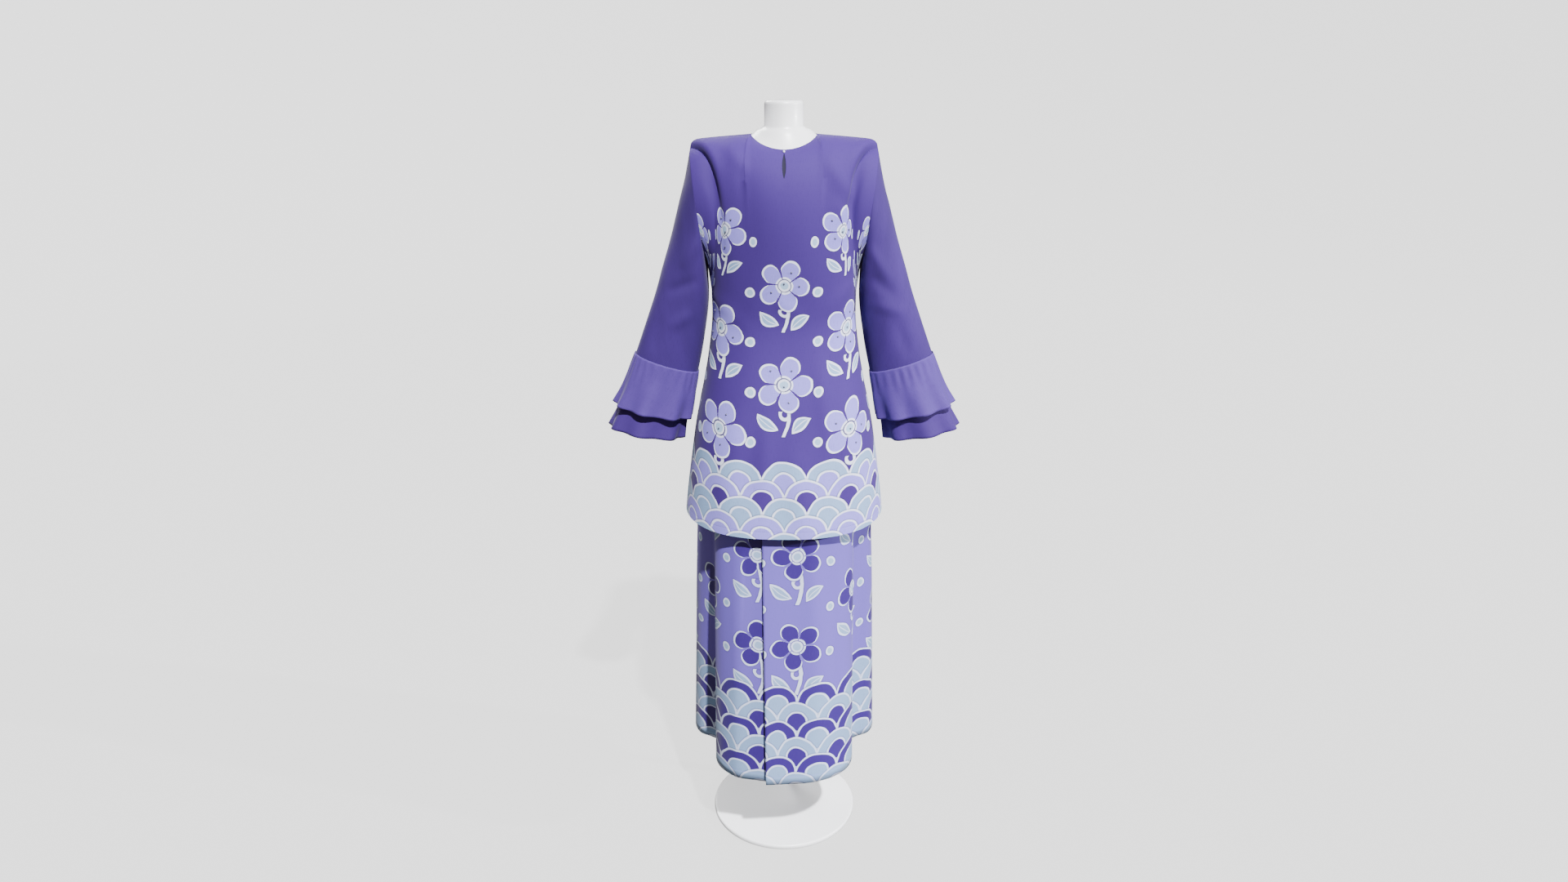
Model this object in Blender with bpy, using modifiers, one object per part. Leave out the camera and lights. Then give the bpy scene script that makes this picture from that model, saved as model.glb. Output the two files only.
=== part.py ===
"""A baju kurung, a long tunic with ruffled sleeves over a wrapped skirt, on a dress form.

Metres, +Z up, the floor at zero, the form's axis on Z, the front towards -Y.
Left and right are those of someone who looks at the front: right is +X.
"""

import math
from bisect import bisect_right
from collections import namedtuple

import bmesh
import bpy
from mathutils import Vector

# Cloth and seams
WALL = 0.0012
SEAM = 0.0003
SEAM_PULL = 0.0010

# Tunic: places that the whole cut is worked out from
UNDERARM = Vector((0.1600, 0.0, 1.3600))
SHOULDER_POINT = Vector((0.1890, 0.0, 1.5850))
ARMHOLE_HALF_DEPTH = 0.068
NECK_SIDE = Vector((0.0666, 0.0, 1.6134))
NECK_FRONT_DEPTH, NECK_FRONT_DROP = 0.063, 0.0262
NECK_BACK_DEPTH, NECK_BACK_DROP = 0.052, 0.0015
NECK_SCOOP = 1.6
TUNIC_HEM_SIDE, TUNIC_HEM_FRONT, TUNIC_HEM_BACK = 0.8180, 0.8080, 0.8120
SHAPING_TOP = 1.2800
SQUARENESS = 2.5
TUNIC_LOWER_ROWS, UPPER_ROWS = 6, 8
ROW_CROWDING = 1.25

# The top edge of half a tunic panel: armhole, then shoulder, then neckline
ARMHOLE_END, NECK_START = 0.50, 0.70
ARMHOLE_COLUMNS, SHOULDER_COLUMNS, NECK_COLUMNS = 10, 4, 5
SHOULDER_CROWDING = 1.6

# Neck slit and its button
SLIT_TOP, SLIT_BOTTOM, SLIT_WIDTH = 1.5815, 1.5340, 0.0070
BUTTON_RADIUS = 0.0023

# Sleeves, counted along their table of rings
SLEEVE_STATIONS = [0.0, 0.7, 1.5, 2.5, 3.5, 4.75, 6.0, 7.5, 9.0, 10.0]
SLEEVE_AROUND = 2 * ARMHOLE_COLUMNS
SLEEVE_PULL = 0.0016
UPPER_RUFFLE_WAVES, LOWER_RUFFLE_WAVES = 9, 8
LOWER_RUFFLE_SHIFT, WAVE_UNEVENNESS = 1.0, 0.6
RUFFLE_AROUND = 40

# Skirt and its waistband
SKIRT_TOP, SKIRT_HEM = 1.2450, 0.2370
FOLDS_START = 1.1000
FOLD_GROWTH = 0.7
LAP_AT_WAIST, LAP_AT_HEM = 0.0032, 0.0085
TUCK_START, TUCK_LENGTH = 328.0, 18.0
SKIRT_AROUND, SKIRT_ROWS = 62, 8
BAND_HEIGHT, BAND_WALL, BAND_AROUND = 0.0320, 0.0020, 40

# Dress form
FORM_CLEARANCE = 0.0009
FORM_BOTTOM = 0.9300
FORM_LOWER_ROWS = 5
FORM_SHOULDER_INSET, FORM_SHOULDER_DROP, FORM_ARMHOLE_NARROWING = 0.0140, 0.0040, 0.33
NECK_RADIUS, NECK_BASE, NECK_TOP, NECK_ROUND = 0.0395, 1.6262, 1.6780, 0.0080
POLE_RADIUS, POLE_BACK = 0.0110, 0.0870
BASE_RADIUS, BASE_HEIGHT, BASE_ROUND, BASE_FOOT = 0.1730, 0.0120, 0.0045, 0.0010

Section = namedtuple("Section", "height half_width front back")
TUNIC_SECTIONS = [
    Section(0.800, 0.2200, 0.1890, 0.1690),
    Section(0.883, 0.2104, 0.1760, 0.1580),
    Section(0.941, 0.2020, 0.1665, 0.1500),
    Section(0.998, 0.1936, 0.1560, 0.1420),
    Section(1.055, 0.1830, 0.1440, 0.1320),
    Section(1.110, 0.1711, 0.1310, 0.1210),
    Section(1.165, 0.1610, 0.1170, 0.1080),
    Section(1.218, 0.1537, 0.1070, 0.0985),
    Section(1.250, 0.1512, 0.1045, 0.0960),
    Section(1.280, 0.1512, 0.1060, 0.0970),
]
SKIRT_SECTIONS = [
    Section(0.237, 0.2150, 0.2410, 0.2050),
    Section(0.381, 0.2100, 0.2230, 0.1980),
    Section(0.513, 0.2055, 0.2070, 0.1910),
    Section(0.641, 0.2015, 0.1900, 0.1820),
    Section(0.764, 0.1965, 0.1720, 0.1660),
    Section(0.850, 0.1940, 0.1620, 0.1520),
    Section(0.941, 0.1900, 0.1510, 0.1410),
    Section(1.000, 0.1840, 0.1430, 0.1330),
    Section(1.055, 0.1760, 0.1335, 0.1240),
    Section(1.110, 0.1655, 0.1210, 0.1130),
    Section(1.165, 0.1550, 0.1080, 0.1010),
    Section(1.218, 0.1485, 0.1005, 0.0930),
    Section(1.250, 0.1470, 0.0990, 0.0920),
    Section(1.285, 0.1470, 0.1000, 0.0925),
]
FORM_SECTIONS = [
    Section(0.920, 0.1500, 0.1050, 0.1130),
    Section(1.000, 0.1640, 0.1150, 0.1180),
    Section(1.055, 0.1640, 0.1160, 0.1130),
    Section(1.110, 0.1580, 0.1100, 0.1060),
    Section(1.165, 0.1500, 0.0995, 0.0965),
    Section(1.218, 0.1455, 0.0925, 0.0895),
    Section(1.250, 0.1459, 0.0915, 0.0890),
    Section(1.280, 0.1462, 0.0925, 0.0895),
]

# How a panel's lengthwise line starts at the waist, and how it arrives at its top edge
TopEdge = namedtuple("TopEdge", "along angle rise lean_x lean_y lean_z pull")
TOP_EDGE = [
    TopEdge(0.0000, 0.0, 1.00, 0.08, 0.00, 1.00, 1.00),
    TopEdge(0.0625, 4.0, 1.00, 0.45, 0.05, 0.89, 0.90),
    TopEdge(0.1250, 9.0, 1.00, 0.75, 0.15, 0.64, 0.85),
    TopEdge(0.1875, 14.0, 1.05, 0.90, 0.25, 0.36, 0.80),
    TopEdge(0.2500, 20.0, 1.15, 0.93, 0.33, 0.15, 0.78),
    TopEdge(0.3125, 26.0, 1.30, 0.92, 0.39, 0.05, 0.74),
    TopEdge(0.3750, 32.0, 1.50, 0.88, 0.47, 0.00, 0.68),
    TopEdge(0.4375, 38.0, 1.70, 0.80, 0.60, -0.04, 0.72),
    TopEdge(0.5000, 45.0, 1.85, 0.65, 0.76, -0.05, 0.84),
    TopEdge(0.6000, 56.0, 1.85, 0.14, 0.98, 0.02, 0.82),
    TopEdge(0.7000, 66.0, 1.75, -0.12, 0.98, 0.14, 0.92),
    TopEdge(0.8500, 79.0, 1.40, -0.03, 0.90, 0.42, 0.90),
    TopEdge(1.0000, 90.0, 1.20, 0.00, 0.76, 0.64, 0.95),
]
ShoulderPoint = namedtuple("ShoulderPoint", "along x z")
SHOULDER_LINE = [
    ShoulderPoint(0.00, 0.1890, 1.5850),
    ShoulderPoint(0.10, 0.1868, 1.5950),
    ShoulderPoint(0.22, 0.1780, 1.6025),
    ShoulderPoint(0.40, 0.1560, 1.6060),
    ShoulderPoint(1.00, 0.0666, 1.6134),
]

# A sleeve ring runs from its outer to its inner point, in a plane that holds the Y direction
SleeveRing = namedtuple("SleeveRing", "place outer_x outer_z inner_x inner_z half_depth")
SLEEVE_RINGS = [
    SleeveRing(0.0, 0.1890, 1.5850, 0.1600, 1.3600, 0.0680),
    SleeveRing(1.0, 0.1966, 1.5476, 0.1588, 1.3350, 0.0665),
    SleeveRing(2.0, 0.2080, 1.4990, 0.1577, 1.3080, 0.0635),
    SleeveRing(3.0, 0.2222, 1.4498, 0.1578, 1.2850, 0.0600),
    SleeveRing(4.0, 0.2366, 1.3998, 0.1596, 1.2620, 0.0565),
    SleeveRing(5.0, 0.2529, 1.3489, 0.1628, 1.2380, 0.0530),
    SleeveRing(6.0, 0.2686, 1.2973, 0.1668, 1.2130, 0.0495),
    SleeveRing(7.0, 0.2871, 1.2449, 0.1716, 1.1840, 0.0460),
    SleeveRing(8.0, 0.3060, 1.1930, 0.1785, 1.1500, 0.0430),
    SleeveRing(9.0, 0.3170, 1.1630, 0.1850, 1.1210, 0.0415),
    SleeveRing(10.0, 0.3212, 1.1500, 0.1880, 1.1090, 0.0415),
    SleeveRing(11.0, 0.3395, 1.1020, 0.1965, 1.0700, 0.0420),
    SleeveRing(12.0, 0.3580, 1.0500, 0.2105, 1.0200, 0.0480),
    SleeveRing(13.0, 0.3820, 1.0010, 0.2205, 0.9730, 0.0590),
]
UPPER_RUFFLE_RINGS = [
    SleeveRing(0.0, 0.3196, 1.1640, 0.1828, 1.1220, 0.0440),
    SleeveRing(1.0, 0.3350, 1.1250, 0.1880, 1.0890, 0.0480),
    SleeveRing(2.0, 0.3510, 1.0870, 0.1935, 1.0560, 0.0550),
    SleeveRing(3.0, 0.3690, 1.0540, 0.2020, 1.0180, 0.0630),
]

# The skirt's plan at the hem, by the angle round the waist from the front towards the right
PlanPoint = namedtuple("PlanPoint", "angle x y")
SKIRT_PLAN = [
    PlanPoint(-12.0, -0.0400, -0.2440),
    PlanPoint(0.0, 0.0000, -0.2410),
    PlanPoint(18.0, 0.0620, -0.2340),
    PlanPoint(32.0, 0.1120, -0.2130),
    PlanPoint(42.0, 0.1440, -0.1800),
    PlanPoint(48.0, 0.1570, -0.1420),
    PlanPoint(53.0, 0.1520, -0.1080),
    PlanPoint(58.0, 0.1500, -0.0800),
    PlanPoint(65.0, 0.1680, -0.0640),
    PlanPoint(77.0, 0.2020, -0.0420),
    PlanPoint(90.0, 0.2150, 0.0000),
    PlanPoint(103.0, 0.2060, 0.0480),
    PlanPoint(114.0, 0.1720, 0.0860),
    PlanPoint(122.0, 0.1480, 0.1120),
    PlanPoint(130.0, 0.1500, 0.1500),
    PlanPoint(142.0, 0.1200, 0.1880),
    PlanPoint(156.0, 0.0700, 0.1960),
    PlanPoint(169.0, 0.0300, 0.1850),
    PlanPoint(182.0, -0.0080, 0.1960),
    PlanPoint(198.0, -0.0600, 0.2050),
    PlanPoint(214.0, -0.1120, 0.1880),
    PlanPoint(226.0, -0.1420, 0.1520),
    PlanPoint(236.0, -0.1460, 0.1180),
    PlanPoint(246.0, -0.1740, 0.0850),
    PlanPoint(257.0, -0.2060, 0.0440),
    PlanPoint(270.0, -0.2150, 0.0000),
    PlanPoint(283.0, -0.2010, -0.0430),
    PlanPoint(295.0, -0.1680, -0.0650),
    PlanPoint(302.0, -0.1500, -0.0800),
    PlanPoint(307.0, -0.1520, -0.1080),
    PlanPoint(312.0, -0.1570, -0.1420),
    PlanPoint(318.0, -0.1440, -0.1790),
    PlanPoint(328.0, -0.1120, -0.2110),
    PlanPoint(337.0, -0.0800, -0.2270),
    PlanPoint(347.0, -0.0430, -0.2390),
    PlanPoint(364.0, 0.0140, -0.2400),
]


def remove_everything():
    """Starts from an empty scene."""
    for item in list(bpy.data.objects):
        bpy.data.objects.remove(item, do_unlink=True)


def new_collection(name):
    collection = bpy.data.collections.new(name)
    bpy.context.scene.collection.children.link(collection)
    return collection


def plain_material(name, colour, roughness, metallic=0.0):
    """A Principled material with a colour, a roughness and a metallic value."""
    material = bpy.data.materials.new(name)
    material.use_nodes = True
    shader = material.node_tree.nodes["Principled BSDF"]
    shader.inputs["Base Color"].default_value = (*colour, 1.0)
    shader.inputs["Roughness"].default_value = roughness
    shader.inputs["Metallic"].default_value = metallic
    return material


def hermite(start, start_slope, end, end_slope, t):
    """A cubic from start to end; works on numbers and on vectors."""
    a = 2 * t**3 - 3 * t**2 + 1
    b = t**3 - 2 * t**2 + t
    c = -2 * t**3 + 3 * t**2
    d = t**3 - t**2
    return start * a + start_slope * b + end * c + end_slope * d


def read_table(rows, key, column, at):
    """Reads one column of a table at any place along its key, on a smooth curve."""
    keys = [getattr(row, key) for row in rows]
    values = [getattr(row, column) for row in rows]
    last = len(rows) - 1
    at = min(max(at, keys[0]), keys[last])
    i = min(bisect_right(keys, at) - 1, last - 1)

    def slope(j):
        before, after = max(j - 1, 0), min(j + 1, last)
        return (values[after] - values[before]) / (keys[after] - keys[before])

    step = keys[i + 1] - keys[i]
    return hermite(values[i], slope(i) * step, values[i + 1], slope(i + 1) * step,
                   (at - keys[i]) / step)


def signed_power(value, power):
    return math.copysign(abs(value) ** power, value)


def section_point(sections, height, angle, side):
    """A point on the body's section at a height; the angle runs from the side to the middle."""
    half_width = read_table(sections, "height", "half_width", height)
    depth = read_table(sections, "height", "front" if side < 0 else "back", height)
    power = 2.0 / SQUARENESS
    return Vector((half_width * signed_power(math.cos(angle), power),
                   side * depth * signed_power(math.sin(angle), power), height))


def armhole_point(turn, side):
    """On the armhole; turn is 0 at the underarm and 1 at the shoulder point."""
    angle = math.pi * turn
    middle, reach = (UNDERARM + SHOULDER_POINT) / 2, (SHOULDER_POINT - UNDERARM) / 2
    outwards = Vector((0, side * ARMHOLE_HALF_DEPTH * math.sin(angle), 0))
    return middle - reach * math.cos(angle) + outwards


def neckline_point(turn, side):
    """On the neckline; turn is 0 at the shoulder seam and 1 at the middle."""
    depth = NECK_FRONT_DEPTH if side < 0 else NECK_BACK_DEPTH
    drop = NECK_FRONT_DROP if side < 0 else NECK_BACK_DROP
    angle = math.pi / 2 * turn
    return Vector((NECK_SIDE.x * math.cos(angle), side * depth * math.sin(angle),
                   NECK_SIDE.z - drop * math.sin(angle) ** NECK_SCOOP))


def top_edge_point(along, side):
    """On the top edge of half a panel: armhole, shoulder seam, neckline."""
    if along <= ARMHOLE_END:
        return armhole_point(along / ARMHOLE_END, side)
    if along <= NECK_START:
        place = (along - ARMHOLE_END) / (NECK_START - ARMHOLE_END)
        return Vector((read_table(SHOULDER_LINE, "along", "x", place), 0.0,
                       read_table(SHOULDER_LINE, "along", "z", place)))
    return neckline_point((along - NECK_START) / (1 - NECK_START), side)


def form_edge_point(point):
    """The same place on the form, whose shoulder ends short of the armhole but not at the neck."""
    share = min(max((point.x - NECK_SIDE.x) / (UNDERARM.x - NECK_SIDE.x), 0.0), 1.0)
    return Vector((point.x - FORM_SHOULDER_INSET * share, point.y * (1 - FORM_ARMHOLE_NARROWING * share),
                   point.z - FORM_SHOULDER_DROP * share))


def body_point(sections, along, climb, side, bottom):
    """A point of half a panel; climb goes from 0 at the bottom to 1 at the waist and 2 at the top."""
    angle = math.radians(read_table(TOP_EDGE, "along", "angle", along))
    top = top_edge_point(along, side)
    if sections is FORM_SECTIONS:
        top = form_edge_point(top)
    if climb <= 1:
        return section_point(sections, bottom + climb * (SHAPING_TOP - bottom), angle, side)
    waist = section_point(sections, SHAPING_TOP, angle, side)
    reach = (top - waist).length
    upwards = (waist - section_point(sections, SHAPING_TOP - 0.02, angle, side)).normalized()
    lean = Vector([read_table(TOP_EDGE, "along", name, along) for name in ("lean_x", "lean_y", "lean_z")])
    lean.y *= -side
    return hermite(waist, upwards * reach * read_table(TOP_EDGE, "along", "rise", along),
                   top, lean.normalized() * reach * read_table(TOP_EDGE, "along", "pull", along), climb - 1)


def top_edge_stations():
    """Where the lengthwise lines of half a panel meet its top edge."""
    armhole = [ARMHOLE_END * i / ARMHOLE_COLUMNS for i in range(ARMHOLE_COLUMNS)]
    shoulder = [ARMHOLE_END + (NECK_START - ARMHOLE_END) * (i / SHOULDER_COLUMNS) ** SHOULDER_CROWDING
                for i in range(SHOULDER_COLUMNS)]
    neck = [NECK_START + (1 - NECK_START) * i / NECK_COLUMNS for i in range(NECK_COLUMNS + 1)]
    return armhole + shoulder + neck


def panel_rows(sections, side, bottom_of, lower_rows):
    """The points of a whole panel, from its right side seam to its left one, row by row."""
    stations = top_edge_stations()
    climbs = [i / lower_rows for i in range(lower_rows)]
    climbs += [2 - (1 - i / UPPER_ROWS) ** ROW_CROWDING for i in range(UPPER_ROWS + 1)]
    grid = []
    for climb in climbs:
        right = [body_point(sections, along, climb, side, bottom_of(along)) for along in stations]
        left = [Vector((-p.x, p.y, p.z)) for p in reversed(right[:-1])]
        grid.append(right + left)
    return grid


def mesh_object(name, bm, material, collection, smooth=True):
    mesh = bpy.data.meshes.new(name)
    bm.to_mesh(mesh)
    bm.free()
    if smooth:
        mesh.shade_smooth()
        mesh.set_sharp_from_angle(angle=math.radians(40))
    mesh.materials.append(material)
    piece = bpy.data.objects.new(name, mesh)
    collection.objects.link(piece)
    return piece


def grid_mesh(grid, closed, flip):
    """An open sheet of quads through a grid of points; closed joins each row's two ends."""
    bm = bmesh.new()
    rows = [[bm.verts.new(point) for point in row] for row in grid]
    count = len(grid[0])
    for lower, upper in zip(rows, rows[1:]):
        for i in range(count if closed else count - 1):
            j = (i + 1) % count
            corners = [lower[i], lower[j], upper[j], upper[i]]
            bm.faces.new(reversed(corners) if flip else corners)
    return bm


def cloth(name, grid, material, collection, closed=False, flip=False, wall=WALL):
    """A cloth wall: an open sheet that Solidify gives its thickness, inwards."""
    piece = mesh_object(name, grid_mesh(grid, closed, flip), material, collection)
    solidify = piece.modifiers.new("Wall", "SOLIDIFY")
    solidify.thickness = wall
    solidify.offset = -1.0
    solidify.use_even_offset = True
    return piece


def seam_pulled(grid, side):
    """Moves a panel's side and shoulder seams off the line that it shares with its neighbour."""
    for row in grid:
        for point in row:
            if abs(point.y) < 1e-6:
                point.y = side * (SEAM / 2 + SEAM_PULL)
    return grid


def tunic_hem(side):
    middle = TUNIC_HEM_FRONT if side < 0 else TUNIC_HEM_BACK

    def height(along):
        angle = math.radians(read_table(TOP_EDGE, "along", "angle", along))
        return TUNIC_HEM_SIDE + (middle - TUNIC_HEM_SIDE) * math.sin(angle) ** 2
    return height


def make_tunic_panels(material, collection):
    """Front and back, each one sheet from hem to shoulder."""
    pieces = []
    for name, side in (("tunic_front", -1), ("tunic_back", 1)):
        grid = panel_rows(TUNIC_SECTIONS, side, tunic_hem(side), TUNIC_LOWER_ROWS)
        pieces.append(cloth(name, seam_pulled(grid, side), material, collection, flip=side < 0))
    return pieces


def front_surface_y(height):
    """How far forward the middle of the tunic's front is at a height."""
    low, high = 1.0, 2.0
    while high - low > 1e-5:
        climb = (low + high) / 2
        point = body_point(TUNIC_SECTIONS, 1.0, climb, -1, TUNIC_HEM_FRONT)
        low, high = (climb, high) if point.z < height else (low, climb)
    return point.y


def cut_neck_slit(front, cutters):
    """Opens the lens-shaped keyhole slit below the front neckline."""
    half_length, half_width = (SLIT_TOP - SLIT_BOTTOM) / 2, SLIT_WIDTH / 2
    steps = 8
    turns = [math.pi * i / (2 * steps) for i in range(-steps, steps + 1)]
    right = [(half_width * math.cos(turn), half_length * math.sin(turn)) for turn in turns]
    outline = right + [(-x, z) for x, z in reversed(right[1:-1])]
    middle = (SLIT_TOP + SLIT_BOTTOM) / 2
    far, near = front_surface_y(middle) - 0.03, front_surface_y(middle) + 0.03
    bm = bmesh.new()
    bmesh.ops.contextual_create(bm, geom=[bm.verts.new((x, far, middle + z)) for x, z in outline])
    wall = bmesh.ops.extrude_face_region(bm, geom=bm.faces[:])
    moved = [item for item in wall["geom"] if isinstance(item, bmesh.types.BMVert)]
    bmesh.ops.translate(bm, verts=moved, vec=(0, near - far, 0))
    bmesh.ops.recalc_face_normals(bm, faces=bm.faces[:])
    cutter = mesh_object("slit_cutter", bm, front.active_material, cutters, smooth=False)
    cutter.hide_render = True
    cutter.display_type = "WIRE"
    cut = front.modifiers.new("Slit", "BOOLEAN")
    cut.object = cutter
    cut.operation = "DIFFERENCE"
    cut.solver = "EXACT"


def make_button(material, collection):
    """The small round button that closes the neck above the slit."""
    height = SLIT_TOP + BUTTON_RADIUS
    bm = bmesh.new()
    bmesh.ops.create_uvsphere(bm, u_segments=10, v_segments=6, radius=BUTTON_RADIUS)
    button = mesh_object("neck_button", bm, material, collection)
    button.location = (0.0, front_surface_y(height) - BUTTON_RADIUS - 2.7 * SEAM, height)
    return button


# How high a ruffle's waves stand at a place along its rings
WaveRow = namedtuple("WaveRow", "place height")
UPPER_WAVES = [WaveRow(0, 0.0), WaveRow(1, 0.0006), WaveRow(2, 0.0024), WaveRow(3, 0.0046)]
LOWER_WAVES = [WaveRow(10, 0.0), WaveRow(11, 0.0), WaveRow(12, 0.0010), WaveRow(13, 0.0045)]


def ring_frame(rings, place):
    """A sleeve ring's middle, its reach towards the outer point, and its half depth."""
    values = [read_table(rings, "place", name, place)
              for name in ("outer_x", "outer_z", "inner_x", "inner_z", "half_depth")]
    outer, inner = Vector((values[0], 0, values[1])), Vector((values[2], 0, values[3]))
    return (outer + inner) / 2, (outer - inner) / 2, values[4]


def ring_points(rings, place, count, waves=0, wave_height=0.0, shift=0.0):
    """One ring of a sleeve or ruffle; waves stand out from the plain ring."""
    middle, reach, half_depth = ring_frame(rings, place)
    points = []
    for i in range(count):
        angle = 2 * math.pi * i / count
        wave = wave_height * math.cos(waves * angle + shift + WAVE_UNEVENNESS * math.sin(2 * angle))
        outward = reach.normalized() * math.cos(angle) + Vector((0, -math.sin(angle), 0))
        points.append(middle + reach * math.cos(angle) + Vector((0, -half_depth * math.sin(angle), 0))
                      + outward * wave)
    return points


def mirrored(grid):
    return [[Vector((-p.x, p.y, p.z)) for p in row] for row in grid]


def both_sides(name, grid, material, collection):
    """The right piece and its mirror twin on the left."""
    cloth(name + "_right", grid, material, collection, closed=True)
    cloth(name + "_left", mirrored(grid), material, collection, closed=True, flip=True)


def make_sleeves(material, collection):
    """Sleeves that start a seam's gap outside the armhole."""
    grid = [ring_points(SLEEVE_RINGS, place, SLEEVE_AROUND) for place in SLEEVE_STATIONS]
    middle, _, _ = ring_frame(SLEEVE_RINGS, 0)
    for i, point in enumerate(grid[0]):
        over = math.cos(2 * math.pi * i / SLEEVE_AROUND) if point.z > middle.z else 0.0
        sideways = Vector((math.sqrt(max(1 - over * over, 0.0)), 0, 0))
        point += ((middle - point).normalized() * over + sideways) * SLEEVE_PULL
    both_sides("sleeve", grid, material, collection)


def make_ruffles(upper_material, lower_material, collection):
    """Two ruffles on each cuff, waved at their hems."""
    upper = [ring_points(UPPER_RUFFLE_RINGS, row.place, RUFFLE_AROUND, UPPER_RUFFLE_WAVES, row.height)
             for row in UPPER_WAVES]
    both_sides("ruffle_upper", upper, upper_material, collection)
    lower = [ring_points(SLEEVE_RINGS, row.place, RUFFLE_AROUND, LOWER_RUFFLE_WAVES, row.height,
                         LOWER_RUFFLE_SHIFT) for row in LOWER_WAVES]
    _, reach, _ = ring_frame(SLEEVE_RINGS, SLEEVE_STATIONS[-1])
    down = Vector((reach.z, 0, -reach.x)).normalized()
    lower[0] = [point + down * (2 * SEAM) for point in lower[0]]
    both_sides("ruffle_lower", lower, lower_material, collection)


def oval_point(angle, height):
    """On the plain oval of the skirt's waist and hips; the angle runs from the front to the right."""
    radians = math.radians(angle)
    facing = "front" if math.cos(radians) > 0 else "back"
    power = 2.0 / SQUARENESS
    wide = read_table(SKIRT_SECTIONS, "height", "half_width", height)
    deep = read_table(SKIRT_SECTIONS, "height", facing, height)
    return Vector((wide * signed_power(math.sin(radians), power),
                   -deep * signed_power(math.cos(radians), power), height))


def skirt_point(angle, height):
    """On the skirt's outer face; the plan goes from a plain oval to the folds of the hem."""
    plain = oval_point(angle, height)
    hem = SKIRT_SECTIONS[0]
    facing = "front" if math.cos(math.radians(angle)) > 0 else "back"
    wide = read_table(SKIRT_SECTIONS, "height", "half_width", height) / hem.half_width
    deep = read_table(SKIRT_SECTIONS, "height", facing, height) / getattr(hem, facing)
    folded = Vector((read_table(SKIRT_PLAN, "angle", "x", angle) * wide,
                     read_table(SKIRT_PLAN, "angle", "y", angle) * deep, height))
    fold = min(max((FOLDS_START - height) / (FOLDS_START - SKIRT_HEM), 0.0), 1.0) ** FOLD_GROWTH
    point = plain.lerp(folded, fold)
    tucked = min(max((angle - TUCK_START) / TUCK_LENGTH, 0.0), 1.0)
    tucked = tucked * tucked * (3 - 2 * tucked)
    inwards = Vector((-point.x, -point.y, 0)).normalized()
    return point + inwards * tucked * (LAP_AT_WAIST + (LAP_AT_HEM - LAP_AT_WAIST) * fold)


def make_skirt(material, collection):
    """One length of cloth round the hips, whose two ends overlap at the front."""
    first, last = SKIRT_PLAN[0].angle, SKIRT_PLAN[-1].angle
    grid = []
    for i in range(SKIRT_ROWS + 1):
        height = SKIRT_HEM + (SKIRT_TOP - SKIRT_HEM) * i / SKIRT_ROWS
        grid.append([skirt_point(first + (last - first) * j / SKIRT_AROUND, height)
                     for j in range(SKIRT_AROUND + 1)])
    return cloth("skirt", grid, material, collection)


def make_waistband(material, collection):
    """The plain band that the skirt hangs from."""
    low = SKIRT_TOP + SEAM
    grid = [[oval_point(360.0 * i / BAND_AROUND, height) for i in range(BAND_AROUND)]
            for height in (low, low + BAND_HEIGHT)]
    return cloth("skirt_waistband", grid, material, collection, closed=True, wall=BAND_WALL)


def make_torso(material, collection):
    """The form's torso: the tunic's own shoulders, moved in, closed at armholes, neck and base."""
    bm = bmesh.new()
    rims = {}
    for side in (-1, 1):
        grid = panel_rows(FORM_SECTIONS, side, lambda along: FORM_BOTTOM, FORM_LOWER_ROWS)
        rows = [[bm.verts.new(point) for point in row] for row in grid]
        for lower, upper in zip(rows, rows[1:]):
            for i in range(len(lower) - 1):
                corners = [lower[i], lower[i + 1], upper[i + 1], upper[i]]
                bm.faces.new(reversed(corners) if side < 0 else corners)
        rims[side] = rows[-1]
    bmesh.ops.remove_doubles(bm, verts=bm.verts[:], dist=1e-5)
    bmesh.ops.recalc_face_normals(bm, faces=bm.faces[:])
    bm.normal_update()
    shifts = [(vert, vert.normal.copy()) for vert in bm.verts]
    for vert, normal in shifts:
        vert.co -= normal * (WALL + FORM_CLEARANCE)
        if vert.co.z < FORM_BOTTOM + 0.001:
            vert.co.z = FORM_BOTTOM
    close_openings(bm)
    bmesh.ops.recalc_face_normals(bm, faces=bm.faces[:])
    return mesh_object("form_torso", bm, material, collection)


def boundary_loops(bm):
    """The rings of open edges, each as an ordered list of points."""
    left = {edge for edge in bm.edges if edge.is_boundary}
    loops = []
    while left:
        edge = left.pop()
        loop = [edge.verts[0], edge.verts[1]]
        while True:
            onward = [e for e in loop[-1].link_edges if e in left]
            if not onward:
                break
            left.discard(onward[0])
            loop.append(onward[0].other_vert(loop[-1]))
        loops.append(loop[:-1] if loop[-1] is loop[0] else loop)
    return loops


def fan_cap(bm, loop, point):
    """Closes a ring of points with a fan round one more point."""
    hub = bm.verts.new(point)
    for i, vert in enumerate(loop):
        bm.faces.new((vert, loop[(i + 1) % len(loop)], hub))


def close_openings(bm):
    """Caps the base and both armholes, and raises the neck stub from the neckline."""
    for loop in boundary_loops(bm):
        middle = sum((vert.co for vert in loop), Vector()) / len(loop)
        if abs(middle.x) > 0.05:
            outward = math.copysign(0.004, middle.x)
            fan_cap(bm, loop, middle + Vector((outward, 0, 0)))
        elif middle.z < 1.2:
            fan_cap(bm, loop, middle)
        else:
            raise_neck(bm, loop)


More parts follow.
